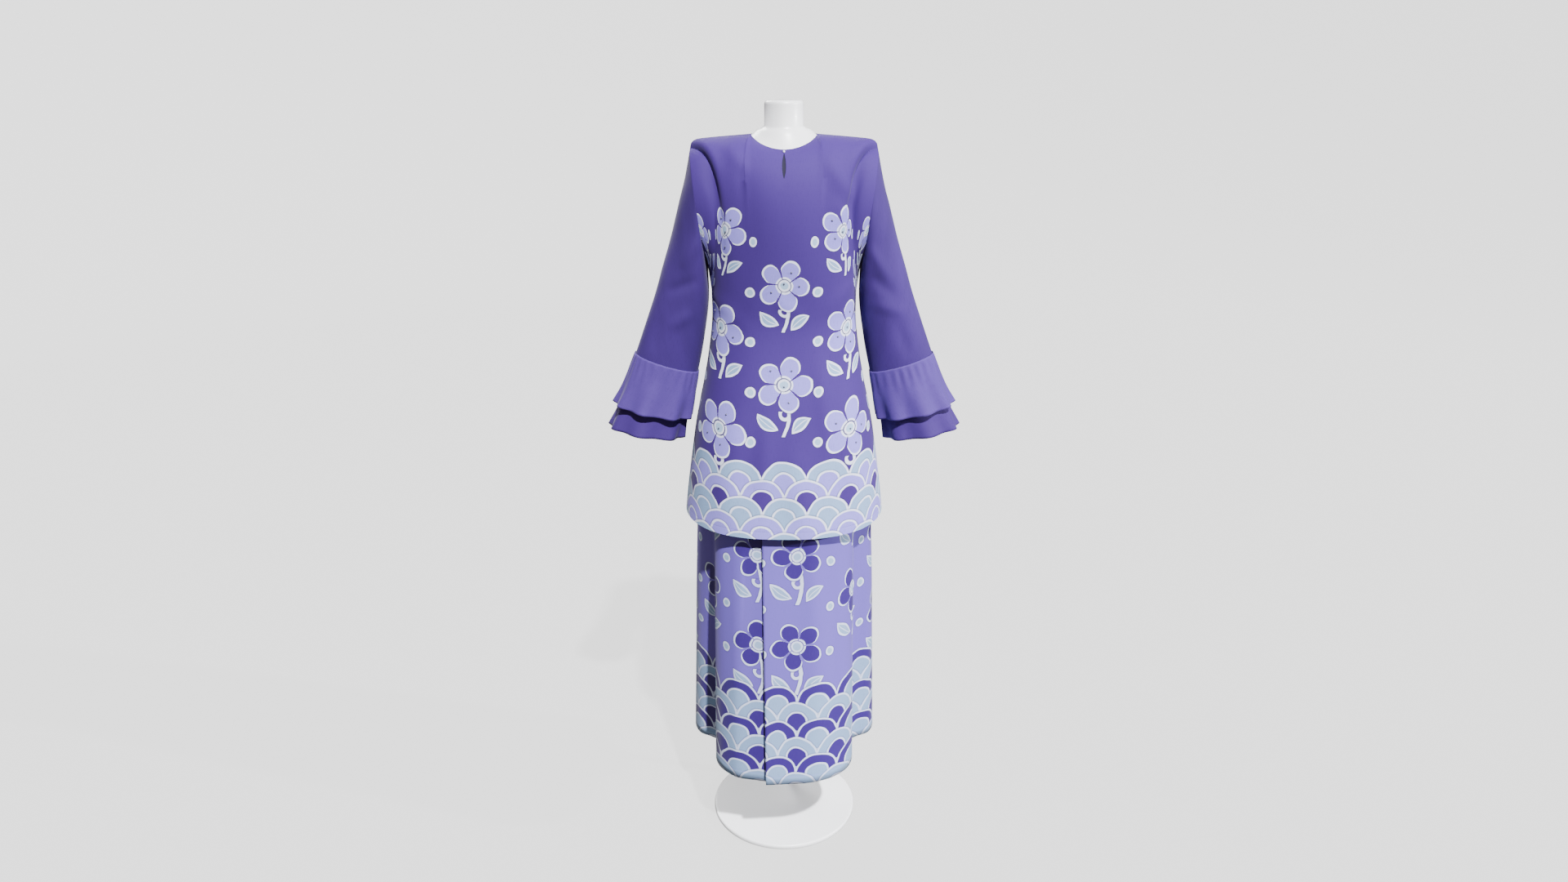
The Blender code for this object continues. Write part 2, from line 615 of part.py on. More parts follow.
# From the neckline (blend 0) to the stub (blend 1), and up the stub
NeckRing = namedtuple("NeckRing", "blend radius height bulge")
NECK_RINGS = [
    NeckRing(0.45, NECK_RADIUS, NECK_BASE, 0.25),
    NeckRing(1.00, NECK_RADIUS, NECK_BASE, 0.0),
    NeckRing(1.00, NECK_RADIUS, NECK_TOP - NECK_ROUND, 0.0),
    NeckRing(1.00, NECK_RADIUS - 0.3 * NECK_ROUND, NECK_TOP - 0.3 * NECK_ROUND, 0.0),
    NeckRing(1.00, NECK_RADIUS - NECK_ROUND, NECK_TOP, 0.0),
]


def raise_neck(bm, loop):
    """Rings from the neckline up to the neck stub and over its rounded top."""
    foot = [vert.co.copy() for vert in loop]
    ring = loop
    for blend, radius, height, bulge in NECK_RINGS:
        above = []
        for point in foot:
            around = math.atan2(point.y, point.x)
            stub = Vector((radius * math.cos(around), radius * math.sin(around), height))
            place = point.lerp(stub, blend)
            place.z += bulge * (stub.z - point.z)
            above.append(bm.verts.new(place))
        for i in range(len(ring)):
            j = (i + 1) % len(ring)
            bm.faces.new((ring[i], ring[j], above[j], above[i]))
        ring = above
    fan_cap(bm, ring, Vector((0, 0, NECK_TOP)))


def rounded_disc(name, profile, material, collection, steps):
    """A solid turned about Z from a profile that runs down its outer side."""
    mesh = bpy.data.meshes.new(name)
    mesh.from_pydata([(x, 0, z) for x, z in profile], [(i, i + 1) for i in range(len(profile) - 1)], [])
    piece = bpy.data.objects.new(name, mesh)
    collection.objects.link(piece)
    screw = piece.modifiers.new("Turn", "SCREW")
    screw.steps = screw.render_steps = steps
    screw.use_merge_vertices = True
    screw.merge_threshold = 0.0001
    screw.use_smooth_shade = True
    mesh.materials.append(material)
    return piece


def make_stand(material, collection):
    """The pole up into the torso, and the flat round base that the whole part rests on."""
    pole_bottom, pole_top = BASE_HEIGHT + SEAM, FORM_BOTTOM - SEAM
    bm = bmesh.new()
    bmesh.ops.create_cone(bm, cap_ends=True, segments=20, radius1=POLE_RADIUS, radius2=POLE_RADIUS,
                          depth=pole_top - pole_bottom)
    pole = mesh_object("form_pole", bm, material, collection)
    pole.location = (0, POLE_BACK, (pole_top + pole_bottom) / 2)
    corner = [(BASE_RADIUS - BASE_ROUND + BASE_ROUND * math.sin(turn),
               BASE_HEIGHT - BASE_ROUND + BASE_ROUND * math.cos(turn))
              for turn in (0, math.pi / 6, math.pi / 3, math.pi / 2)]
    foot = [(BASE_RADIUS, BASE_FOOT), (BASE_RADIUS - BASE_FOOT, 0.0), (0.0, 0.0)]
    return rounded_disc("form_base", [(0.0, BASE_HEIGHT)] + corner + foot, material, collection, 56)


def main():
    remove_everything()
    parts = new_collection("baju_kurung_on_dress_form")
    cutters = new_collection("cutters")
    violet = plain_material("violet_cloth", (0.16, 0.13, 0.42), 0.75)
    ruffle = plain_material("ruffle_cloth", (0.22, 0.19, 0.46), 0.75)
    lavender = plain_material("lavender_cloth", (0.36, 0.33, 0.60), 0.70)
    white = plain_material("form_white", (0.85, 0.86, 0.87), 0.40)
    pearl = plain_material("button_pearl", (0.80, 0.80, 0.84), 0.30)
    front, _ = make_tunic_panels(violet, parts)
    cut_neck_slit(front, cutters)
    make_button(pearl, parts)
    make_sleeves(violet, parts)
    make_ruffles(ruffle, violet, parts)
    make_skirt(lavender, parts)
    make_waistband(lavender, parts)
    make_torso(white, parts)
    make_stand(white, parts)


main()
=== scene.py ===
# %% [markdown]
# A baju kurung is a long loose tunic worn over a long skirt. This one stands on a white dress form.
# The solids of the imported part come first: every piece of cloth below is made round them, in metres,
# with the floor at zero, the front towards -Y and the viewer's right towards +X.

import math
from bisect import bisect_right
from collections import namedtuple
from functools import partialmethod

import bmesh
import bpy
import numpy as np
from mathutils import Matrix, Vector


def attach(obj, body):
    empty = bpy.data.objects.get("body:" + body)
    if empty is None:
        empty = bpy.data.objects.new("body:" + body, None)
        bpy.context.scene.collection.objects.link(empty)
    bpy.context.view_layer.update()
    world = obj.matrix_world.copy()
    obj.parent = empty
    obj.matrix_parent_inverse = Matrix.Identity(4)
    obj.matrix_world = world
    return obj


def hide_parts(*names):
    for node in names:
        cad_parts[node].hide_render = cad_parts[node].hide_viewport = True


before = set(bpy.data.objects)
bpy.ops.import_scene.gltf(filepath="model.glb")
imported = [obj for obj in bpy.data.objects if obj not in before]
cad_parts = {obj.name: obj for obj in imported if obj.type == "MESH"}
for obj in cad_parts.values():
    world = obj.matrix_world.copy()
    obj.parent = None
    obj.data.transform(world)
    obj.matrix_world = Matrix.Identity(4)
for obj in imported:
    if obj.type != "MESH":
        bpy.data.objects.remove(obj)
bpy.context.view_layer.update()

# %% [markdown]
# A few steps come back all through the script: putting an object into the scene, picking it out, and giving
# the inputs of a shader node their values.

# %% Helpers
def add_object(name, data):
    made = bpy.data.objects.new(name, data)
    bpy.context.scene.collection.objects.link(made)
    return made


def mesh_from(name, bm):
    mesh = bpy.data.meshes.new(name)
    bm.to_mesh(mesh)
    bm.free()
    return mesh


def select_only(piece):
    bpy.ops.object.select_all(action="DESELECT")
    bpy.context.view_layer.objects.active = piece
    piece.select_set(True)


def join(tree, slot, value):
    """Gives an input its value: a number or a colour is written in, a Sum or a socket is linked."""
    value = getattr(value, "socket", value)
    if isinstance(value, bpy.types.NodeSocket):
        tree.links.new(value, slot)
    else:
        slot.default_value = value


def feed(tree, node, **values):
    """Gives a node its inputs by name, with _ for a space."""
    for label, value in values.items():
        join(tree, node.inputs[label.replace("_", " ")], value)
    return node


def new_material(name, **values):
    """A material, its node tree and its main shader, which takes the values by name."""
    material = bpy.data.materials.new(name)
    material.use_nodes = True
    tree = material.node_tree
    return material, tree, feed(tree, tree.nodes["Principled BSDF"], **values)


# %% [markdown]
# The picture was taken from a little above the neck, looking down at the hem, with a short lens.
# The place, tilt and lens were worked out from the neck, the neckline, the hem and the round base.

# %% Camera
CAMERA_PLACE, CAMERA_TILT = (0.0, -2.215, 1.74484), math.radians(90 - 19.5)
LENS, SENSOR = 24.4439, 36.0
lens = bpy.data.cameras.new("camera")
lens.lens, lens.sensor_width = LENS, SENSOR
camera = add_object("camera", lens)
camera.location = CAMERA_PLACE
camera.rotation_euler = (CAMERA_TILT, 0, 0)
bpy.context.scene.camera = camera

# %% [markdown]
# A studio is a pale floor with no corner: the paper runs out flat and then curves up into a low wall.
# A round one looks the same from every side. The paper glows a little, so shadows on it stay faint, and
# it neither lights the dress nor throws a shadow on it: only the lamps and the room do that.

# %% Studio floor
FLOOR_RADIUS, WALL_RADIUS, WALL_TOP = 6.0, 9.0, 6.0
FLOOR_SIDES, CURVE_STEPS = 96, 14
PAPER_COLOUR, PAPER_GLOW = (0.12, 0.12, 0.12, 1), 1.75


def bowl_profile():
    """From the middle of the floor up the curve to the rim."""
    points = [(0.0, 0, 0.0), (FLOOR_RADIUS * 0.5, 0, 0.0)]
    for i in range(CURVE_STEPS + 1):
        turn = math.pi / 2 * i / CURVE_STEPS
        radius = FLOOR_RADIUS + (WALL_RADIUS - FLOOR_RADIUS) * math.sin(turn)
        points.append((radius, 0, WALL_TOP * (1 - math.cos(turn))))
    return points


bowl = bpy.data.meshes.new("floor")
profile = bowl_profile()
bowl.from_pydata(profile, [(i, i + 1) for i in range(len(profile) - 1)], [])
floor = add_object("floor", bowl)
sweep = floor.modifiers.new("Turn", "SCREW")
sweep.steps = sweep.render_steps = FLOOR_SIDES
sweep.use_smooth_shade = sweep.use_merge_vertices = True
paper, _, _ = new_material("paper", Base_Color=PAPER_COLOUR, Roughness=1.0, Specular_IOR_Level=0.0,
                           Emission_Color=(1, 1, 1, 1), Emission_Strength=PAPER_GLOW)
bowl.materials.append(paper)
floor.visible_shadow = floor.visible_diffuse = floor.visible_glossy = False
print("floor", WALL_RADIUS, "m to its rim")

# %% [markdown]
# Light comes softly from all round, with one key light from high in front on the right. It leaves the left
# side darker and throws a thin shadow beside the skirt's overlap. A low one on the right draws the folds,
# and a wide soft one behind keeps the back of the dress readable.

# %% Studio light
ROOM_COLOUR, ROOM_LIGHT = (1.0, 0.96, 0.90, 1), 0.29
COOL, PLAIN = (0.98, 0.98, 1.0), (1, 1, 1)
room = bpy.data.worlds.new("room")
room.use_nodes = True
feed(room.node_tree, room.node_tree.nodes["Background"], Color=ROOM_COLOUR, Strength=ROOM_LIGHT)
bpy.context.scene.world = room


def add_sun(name, azimuth, elevation, strength, softness, colour):
    """A distant light; azimuth is counted from the front towards the viewer's right, in degrees."""
    light = bpy.data.lights.new(name, "SUN")
    light.energy, light.angle, light.color = strength, math.radians(softness), colour
    lamp = add_object(name, light)
    around, up = math.radians(azimuth), math.radians(elevation)
    place = Vector((math.sin(around) * math.cos(up), -math.cos(around) * math.cos(up), math.sin(up)))
    lamp.rotation_mode = "QUATERNION"
    lamp.rotation_quaternion = place.to_track_quat("Z", "Y")


add_sun("key", 20, 52, 10.0, 2.0, COOL)
add_sun("side", 76, 20, 4.4, 1.5, COOL)
add_sun("back", 212, 34, 2.6, 25.0, PLAIN)

# %% [markdown]
# The cut of the garment is a set of short tables, the same ones that the solids were made from.
# A table is read on a smooth curve, so a cloth of any fineness follows the same form.

# %% Reading a table
def table(kind, *rows):
    return [kind(*row) for row in rows]


def hermite(start, start_slope, end, end_slope, t):
    """A cubic from start to end; works on numbers and on vectors."""
    return (start * (2 * t**3 - 3 * t**2 + 1) + start_slope * (t**3 - 2 * t**2 + t)
            + end * (3 * t**2 - 2 * t**3) + end_slope * (t**3 - t**2))


def read_table(rows, column, at):
    """Reads one column at any place along the first one."""
    keys = [row[0] for row in rows]
    values = [getattr(row, column) for row in rows]
    last = len(rows) - 1
    at = min(max(at, keys[0]), keys[last])
    i = min(bisect_right(keys, at) - 1, last - 1)

    def slope(j):
        before, after = max(j - 1, 0), min(j + 1, last)
        return (values[after] - values[before]) / (keys[after] - keys[before])

    step = keys[i + 1] - keys[i]
    return hermite(values[i], slope(i) * step, values[i + 1], slope(i + 1) * step, (at - keys[i]) / step)


def read_row(rows, at):
    """All the columns but the first, at any place along it."""
    return [read_table(rows, name, at) for name in rows[0]._fields[1:]]


def signed_power(value, power):
    return math.copysign(abs(value) ** power, value)


def smooth(value, low, high):
    """0 below low, 1 above high, and a soft step between; works on numbers and arrays."""
    t = np.clip((value - low) / (high - low), 0.0, 1.0)
    return t * t * (3 - 2 * t)


# %% [markdown]
# The tunic is two panels, front and back. Each lengthwise thread climbs from the hem to the waist on a
# rounded-square section, and from there to its own place on the armhole, the shoulder or the neckline.

# %% The tunic's cut
UNDERARM = Vector((0.1600, 0.0, 1.3600))
SHOULDER_POINT = Vector((0.1890, 0.0, 1.5850))
ARMHOLE_HALF_DEPTH = 0.068
NECK_SIDE = Vector((0.0666, 0.0, 1.6134))
NECK_FRONT_DEPTH, NECK_FRONT_DROP = 0.063, 0.0262
NECK_BACK_DEPTH, NECK_BACK_DROP = 0.052, 0.0015
NECK_SCOOP = 1.6
TUNIC_HEM_SIDE, TUNIC_HEM_FRONT, TUNIC_HEM_BACK = 0.8180, 0.8080, 0.8120
SHAPING_TOP = 1.2800
SQUARENESS, SLOPE_STEP = 2.5, 0.02
ARMHOLE_END, NECK_START = 0.50, 0.70

Section = namedtuple("Section", "height half_width front back")
TUNIC_SECTIONS = table(
    Section,
    (0.8, 0.22, 0.189, 0.169), (0.883, 0.2104, 0.176, 0.158), (0.941, 0.202, 0.1665, 0.15),
    (0.998, 0.1936, 0.156, 0.142), (1.055, 0.183, 0.144, 0.132), (1.11, 0.1711, 0.131, 0.121),
    (1.165, 0.161, 0.117, 0.108), (1.218, 0.1537, 0.107, 0.0985), (1.25, 0.1512, 0.1045, 0.096),
    (1.28, 0.1512, 0.106, 0.097))
TopEdge = namedtuple("TopEdge", "along angle rise lean_x lean_y lean_z pull")
TOP_EDGE = table(
    TopEdge,
    (0.0, 0.0, 1.0, 0.08, 0.0, 1.0, 1.0), (0.0625, 4.0, 1.0, 0.45, 0.05, 0.89, 0.9),
    (0.125, 9.0, 1.0, 0.75, 0.15, 0.64, 0.85), (0.1875, 14.0, 1.05, 0.9, 0.25, 0.36, 0.8),
    (0.25, 20.0, 1.15, 0.93, 0.33, 0.15, 0.78), (0.3125, 26.0, 1.3, 0.92, 0.39, 0.05, 0.74),
    (0.375, 32.0, 1.5, 0.88, 0.47, 0.0, 0.68), (0.4375, 38.0, 1.7, 0.8, 0.6, -0.04, 0.72),
    (0.5, 45.0, 1.85, 0.65, 0.76, -0.05, 0.84), (0.6, 56.0, 1.85, 0.14, 0.98, 0.02, 0.82),
    (0.7, 66.0, 1.75, -0.12, 0.98, 0.14, 0.92), (0.85, 79.0, 1.4, -0.03, 0.9, 0.42, 0.9),
    (1.0, 90.0, 1.2, 0.0, 0.76, 0.64, 0.95))
ShoulderPoint = namedtuple("ShoulderPoint", "along x z")
SHOULDER_LINE = table(
    ShoulderPoint,
    (0.0, 0.189, 1.585), (0.1, 0.1868, 1.595), (0.22, 0.178, 1.6025), (0.4, 0.156, 1.606),
    (1.0, 0.0666, 1.6134))


def section_point(sections, height, angle, side):
    """On the body's section at a height; the angle runs from the side to the middle."""
    half_width = read_table(sections, "half_width", height)
    depth = read_table(sections, "front" if side < 0 else "back", height)
    power = 2.0 / SQUARENESS
    return Vector((half_width * signed_power(math.cos(angle), power),
                   side * depth * signed_power(math.sin(angle), power), height))


def armhole_point(turn, side):
    angle = math.pi * turn
    middle, reach = (UNDERARM + SHOULDER_POINT) / 2, (SHOULDER_POINT - UNDERARM) / 2
    return middle - reach * math.cos(angle) + Vector((0, side * ARMHOLE_HALF_DEPTH * math.sin(angle), 0))


def neckline_point(turn, side):
    depth = NECK_FRONT_DEPTH if side < 0 else NECK_BACK_DEPTH
    drop = NECK_FRONT_DROP if side < 0 else NECK_BACK_DROP
    angle = math.pi / 2 * turn
    return Vector((NECK_SIDE.x * math.cos(angle), side * depth * math.sin(angle),
                   NECK_SIDE.z - drop * math.sin(angle) ** NECK_SCOOP))


def top_edge_point(along, side):
    """On the top edge of half a panel: armhole, shoulder seam, neckline."""
    if along <= ARMHOLE_END:
        return armhole_point(along / ARMHOLE_END, side)
    if along <= NECK_START:
        place = (along - ARMHOLE_END) / (NECK_START - ARMHOLE_END)
        x, z = read_row(SHOULDER_LINE, place)
        return Vector((x, 0.0, z))
    return neckline_point((along - NECK_START) / (1 - NECK_START), side)


def body_thread(sections, along, side, bottom, edge, climbs):
    """The points of one lengthwise thread; climb is 0 at the bottom, 1 at the waist, 2 at the top edge."""
    angle = math.radians(read_table(TOP_EDGE, "angle", along))
    top = edge(top_edge_point(along, side))
    waist = section_point(sections, SHAPING_TOP, angle, side)
    upwards = (waist - section_point(sections, SHAPING_TOP - SLOPE_STEP, angle, side)).normalized()
    reach = (top - waist).length
    lean = Vector([read_table(TOP_EDGE, name, along) for name in ("lean_x", "lean_y", "lean_z")])
    lean.y *= -side
    start = upwards * reach * read_table(TOP_EDGE, "rise", along)
    end = lean.normalized() * reach * read_table(TOP_EDGE, "pull", along)
    return [section_point(sections, bottom + climb * (SHAPING_TOP - bottom), angle, side) if climb <= 1
            else hermite(waist, start, top, end, climb - 1) for climb in climbs]


PANEL_ROWS, PANEL_COLUMNS = (30, 44), (26, 12, 14)
SHOULDER_PACKING, TOP_PACKING = 1.3, 1.25


def body_grid(sections, side, bottom_of, edge=lambda point: point, rows=PANEL_ROWS, columns=PANEL_COLUMNS):
    """A whole panel as an array: rows from the bottom up, columns from the right seam to the left one."""
    armhole, shoulder, neck = columns
    span = NECK_START - ARMHOLE_END
    stations = [ARMHOLE_END * i / armhole for i in range(armhole)]
    stations += [ARMHOLE_END + span * (i / shoulder) ** SHOULDER_PACKING for i in range(shoulder)]
    stations += [NECK_START + (1 - NECK_START) * i / neck for i in range(neck + 1)]
    climbs = [i / rows[0] for i in range(rows[0])]
    climbs += [2 - (1 - i / rows[1]) ** TOP_PACKING for i in range(rows[1] + 1)]
    half = np.array([body_thread(sections, along, side, bottom_of(along), edge, climbs)
                     for along in stations]).transpose(1, 0, 2)
    other = half[:, -2::-1] * (-1, 1, 1)
    return np.concatenate([half, other], axis=1)


# %% [markdown]
# Cloth is a thin shell. Its outer face is a grid of points; a crease is a soft ridge or trough that runs
# between two places and dies away at both ends, and it moves the points along the face's own normal.
# No two creases have the same length, depth or spacing, and the hidden sides have theirs too.

# %% Making cloth
WALL = 0.0012
Crease = namedtuple("Crease", "side x z to_x to_z width height")


def crease_table(front, back):
    return [Crease(side, *row) for side, rows in ((-1, front), (1, back)) for row in rows]


def face_normals(grid):
    """The outward normal at each point of a grid, away from the upright line through its middle."""
    up = np.gradient(grid, axis=0)
    across = np.gradient(grid, axis=1)
    normal = np.cross(across, up)
    normal /= np.maximum(np.linalg.norm(normal, axis=2, keepdims=True), 1e-12)
    middle = grid.mean(axis=1, keepdims=True)
    outward = (normal * (grid - middle)).sum() > 0
    return normal if outward else -normal


def crease_heights(grid, creases):
    """How far each point moves out, from a table of creases laid down in front or back view."""
    height = np.zeros(grid.shape[:2])
    for crease in creases:
        start, end = np.array((crease.x, crease.z)), np.array((crease.to_x, crease.to_z))
        run = end - start
        place = grid[:, :, (0, 2)] - start
        t = np.clip((place @ run) / (run @ run), 0, 1)
        away = np.linalg.norm(place - t[..., None] * run, axis=2)
        taper = np.sin(np.pi * np.clip(t * 0.94 + 0.03, 0, 1)) ** 0.8
        facing = smooth(grid[:, :, 1] * crease.side, -0.01, 0.02)
        height += crease.height * taper * np.exp(-((away / crease.width) ** 2)) * facing
    return height


def creased(grid, creases, hold=None, closed=False):
    """The grid with its creases; hold is 0 where the cloth is sewn down and 1 where it is free."""
    wrapped = np.concatenate([grid[:, -1:], grid, grid[:, :1]], axis=1) if closed else grid
    normal = face_normals(wrapped)[:, 1:-1] if closed else face_normals(wrapped)
    height = crease_heights(grid, creases)
    if hold is not None:
        height = height * hold
    return grid + normal * height[..., None]


def neighbours_mean(values):
    """Each value drawn half way to the mean of its two neighbours across; the edges stay."""
    soft = values.copy()
    soft[1:-1, 1:-1] += 0.5 * ((values[1:-1, :-2] + values[1:-1, 2:]) / 2 - values[1:-1, 1:-1])
    return soft


FILL_MOST, FILL_LEAST = 0.006, -0.0003
FILL_PASSES, FILL_COLUMNS = 20, 6


def filled_out(grid):
    """Softens the ridges between lengthwise threads, and lifts the cloth clear of what is under it."""
    soft = grid
    for _ in range(FILL_PASSES):
        soft = neighbours_mean(soft)
    normal = face_normals(grid)
    move = ((soft - grid) * normal).sum(axis=2)
    lift = np.clip(-move, 0, None)
    for _ in range(FILL_COLUMNS):
        lift = np.maximum(lift, np.maximum(np.roll(lift, 1, axis=1), np.roll(lift, -1, axis=1)))
    for _ in range(FILL_PASSES):
        lift = neighbours_mean(lift)
    move = np.clip(move + lift, FILL_LEAST, None)
    move = np.where(move > 0, FILL_MOST * np.tanh(move / FILL_MOST), move)
    print("chest softened by up to", round(float(move.max()) * 1000, 1), "mm")
    return grid + normal * move[..., None]


def arc_map(grid, closed=False):
    """Each point's place on the flat cloth, in metres: across from the middle thread, up from the hem."""
    across = np.linalg.norm(np.diff(grid, axis=1), axis=2)
    across = np.concatenate([np.zeros((len(grid), 1)), np.cumsum(across, axis=1)], axis=1)
    across -= across[:, -1:] / 2 if not closed else 0
    up = np.linalg.norm(np.diff(grid, axis=0), axis=2)
    up = np.concatenate([np.zeros((1, grid.shape[1])), np.cumsum(up, axis=0)], axis=0)
    return np.stack([-across if not closed else across, up], axis=2)


def cloth(name, grid, material, closed=False, wall=WALL, place=None):
    """A thin shell through a grid, with its flat cloth as its UV map, and its wall inwards."""
    place = arc_map(grid, closed) if place is None else place
    rows, columns = grid.shape[:2]
    if closed:
        grid = np.concatenate([grid, grid[:, :1]], axis=1)
        seam = place[:, :1].copy()
        seam[..., 0] = place[:, -1:, 0] + np.linalg.norm(grid[:, -1:] - grid[:, -2:-1], axis=2)
        place = np.concatenate([place, seam], axis=1)
        columns += 1
    mesh = bpy.data.meshes.new(name)
    index = np.arange(rows * columns).reshape(rows, columns)
    quads = np.stack([index[:-1, :-1], index[:-1, 1:], index[1:, 1:], index[1:, :-1]], axis=2).reshape(-1, 4)
    a, b, d = (grid.reshape(-1, 3)[quads[:, i]] for i in (0, 1, 3))
    turned = np.cross(b - a, d - a)
    outward = face_normals(grid)[:-1, :-1].reshape(-1, 3)
    if (turned * outward).sum() < 0:
        quads = quads[:, ::-1]
    mesh.from_pydata(grid.reshape(-1, 3).tolist(), [], quads.tolist())
    layer = mesh.uv_layers.new(name="cloth")
    corners = np.array([loop.vertex_index for loop in mesh.loops])
    layer.data.foreach_set("uv", place.reshape(-1, 2)[corners].astype(np.float32).ravel())
    mesh.shade_smooth()
    piece = add_object(name, mesh)
    if closed:
        bm = bmesh.new()
        bm.from_mesh(mesh)
        bmesh.ops.remove_doubles(bm, verts=bm.verts[:], dist=1e-7)
        bm.to_mesh(mesh)
        bm.free()
    mesh.materials.append(material)
    solidify = piece.modifiers.new("Wall", "SOLIDIFY")
    solidify.thickness, solidify.offset = wall, -1.0
    area = sum(face.area for face in mesh.polygons)
    print(name, "quads", len(mesh.polygons), "area", round(area, 3), "m2",
          "cut", [round(float(v), 2) for v in (np.ptp(place[..., 0]), np.ptp(place[..., 1]))])
    return piece


def finish_piece(piece, slot, *nodes):
    """Every piece rides on the one body and stands for its solids, which are hidden; slot is not used."""
    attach(piece, "root")
    if nodes:
        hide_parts(*nodes)
    return piece


# %% [markdown]
# Materials are node trees. A small class turns sums on shader sockets into Math nodes, so a pattern can be
# written down as the formula that it is.

# %% Sums on shader sockets
class Sum:
    """A number or a place that changes over the surface; each step adds a node to its tree."""

    def __init__(self, tree, socket):
        self.tree, self.socket = tree, socket

    def through(self, node, *others):
        """What a node makes of this and the other inputs, in their order."""
        for slot, value in zip(node.inputs, (self, *others)):
            join(self.tree, slot, value)
        return Sum(self.tree, node.outputs[0])

    def node(self, operation, *others):
        made = self.tree.nodes.new("ShaderNodeMath")
        made.operation = operation
        return self.through(made, *others)

    __add__ = __radd__ = partialmethod(node, "ADD")
    __sub__ = partialmethod(node, "SUBTRACT")
    __mul__ = __rmul__ = partialmethod(node, "MULTIPLY")
    __truediv__ = partialmethod(node, "DIVIDE")
    power = partialmethod(node, "POWER")
    least = partialmethod(node, "MINIMUM")
    most = partialmethod(node, "MAXIMUM")
    size = partialmethod(node, "ABSOLUTE")
    sine = partialmethod(node, "SINE")
    cosine = partialmethod(node, "COSINE")
    root = partialmethod(node, "SQRT")
    cycle = partialmethod(node, "PINGPONG")
    floor = partialmethod(node, "FLOOR")
    modulo = partialmethod(node, "FLOORED_MODULO")

    def rest(self):
        """What is left of one."""
        return self * -1.0 + 1.0

    def step(self, low, high):
        """0 below low and 1 above high, with a soft edge; low may be the larger one."""
        made = self.tree.nodes.new("ShaderNodeMapRange")
        made.interpolation_type = "SMOOTHSTEP"
        flipped = low > high
        return self.through(made, min(low, high), max(low, high), float(flipped), float(not flipped))


def sums(tree, node):
    """All that a node puts out, by name."""
    return {socket.name: Sum(tree, socket) for socket in node.outputs}


def srgb(red, green, blue):
    """A colour as a screen shows it, 0 to 255, in the linear numbers that a shader takes."""
    return tuple((c / 255 / 12.92) if c <= 10.31 else ((c / 255 + 0.055) / 1.055) ** 2.4
                 for c in (red, green, blue)) + (1.0,)


def toned(colour, share):
    """A colour made darker or lighter."""
    return tuple(min(1, c * share) for c in colour[:3]) + (1.0,)


def mix(tree, share, first, second):
    """A colour between two; each may be a colour or a Sum."""
    node = tree.nodes.new("ShaderNodeMix")
    node.data_type = "RGBA"
    for name, kind, value in (("Factor", "VALUE", share), ("A", "RGBA", first), ("B", "RGBA", second)):
        join(tree, next(s for s in node.inputs if (s.name, s.type) == (name, kind)), value)
    return Sum(tree, next(s for s in node.outputs if s.type == "RGBA"))


def new_group(name, outputs, **inputs):
    """An empty group that takes a place and the named inputs, each a number or a vector by its default."""
    group = bpy.data.node_groups.new(name, "ShaderNodeTree")
    group.interface.new_socket("Place", in_out="INPUT", socket_type="NodeSocketVector")
    for label, value in inputs.items():
        kind = "NodeSocketFloat" if isinstance(value, float) else "NodeSocketVector"
        group.interface.new_socket(label, in_out="INPUT", socket_type=kind).default_value = value
    for label in outputs:
        kind = "NodeSocketColor" if label == "Color" else "NodeSocketFloat"
        group.interface.new_socket(label, in_out="OUTPUT", socket_type=kind)
    given = sums(group, group.nodes.new("NodeGroupInput"))
    return group, given, group.nodes.new("NodeGroupOutput")


def place_group(tree, group, **values):
    node = tree.nodes.new("ShaderNodeGroup")
    node.node_tree = group
    return sums(tree, feed(tree, node, **values))


def noise(place, scale, detail=2.0):
    node = place.tree.nodes.new("ShaderNodeTexNoise")
    feed(place.tree, node, Vector=place, Scale=scale, Detail=detail)
    return Sum(place.tree, node.outputs["Fac"])


def stretched(place, scale):
    """The place with each axis scaled, for a grain that is longer one way."""
    node = place.tree.nodes.new("ShaderNodeVectorMath")
    node.operation = "MULTIPLY"
    return place.through(node, scale)


def axes(place):
    """How far across and how far up a place is."""
    parts = sums(place.tree, feed(place.tree, place.tree.nodes.new("ShaderNodeSeparateXYZ"), Vector=place))
    return parts["X"], parts["Y"]


def length_of(across, up):
    return (across * across + up * up).root()


def add_bump(tree, shader, height, strength, distance):
    bumps = tree.nodes.new("ShaderNodeBump")
    feed(tree, bumps, Strength=strength, Distance=distance, Height=height)
    feed(tree, shader, Normal=bumps.outputs[0])


# %% [markdown]
# Close up, the cloth is a plain weave: two sets of fine threads, some of them thicker than the rest.
# One group makes that for every cloth here: a thread height for the bump, and the slubs as a mask.

# %% Weave
THREAD_PITCH = 0.0011
WARP_GRAIN, WEFT_GRAIN = (1400, 60, 1), (90, 700, 1)


def make_weave():
    group, given, outside = new_group("weave", ("Height", "Slubs"), Slub=0.5)
    warp, weft = ((way / THREAD_PITCH * math.pi).sine() for way in axes(given["Place"]))
    over = (warp * weft) * 0.5 + 0.5
    fine, thick = (noise(stretched(given["Place"], grain), 1.0) for grain in (WARP_GRAIN, WEFT_GRAIN))
    slubs = (fine.step(0.52, 0.72) * 0.6 + thick.step(0.56, 0.74) * 0.4) * given["Slub"]
    feed(group, outside, Height=over * 0.5 + slubs * 0.8, Slubs=slubs)
    return group


weave = make_weave()

# %% [markdown]
# Hand-drawn wax cloth: a wax line keeps the colour out, so each motif has a pale outline with a thin dark
# edge where the dye gathers. The motifs here are a common sort: round five-petalled flowers and pointed
# leaves. One group draws a flower, one a leaf.

# %% Flower and leaf
def centred(given):
    """Across and up from the motif's own middle."""
    (across, up), (middle_across, middle_up) = axes(given["Place"]), axes(given["Middle"])
    return across - middle_across, up - middle_up


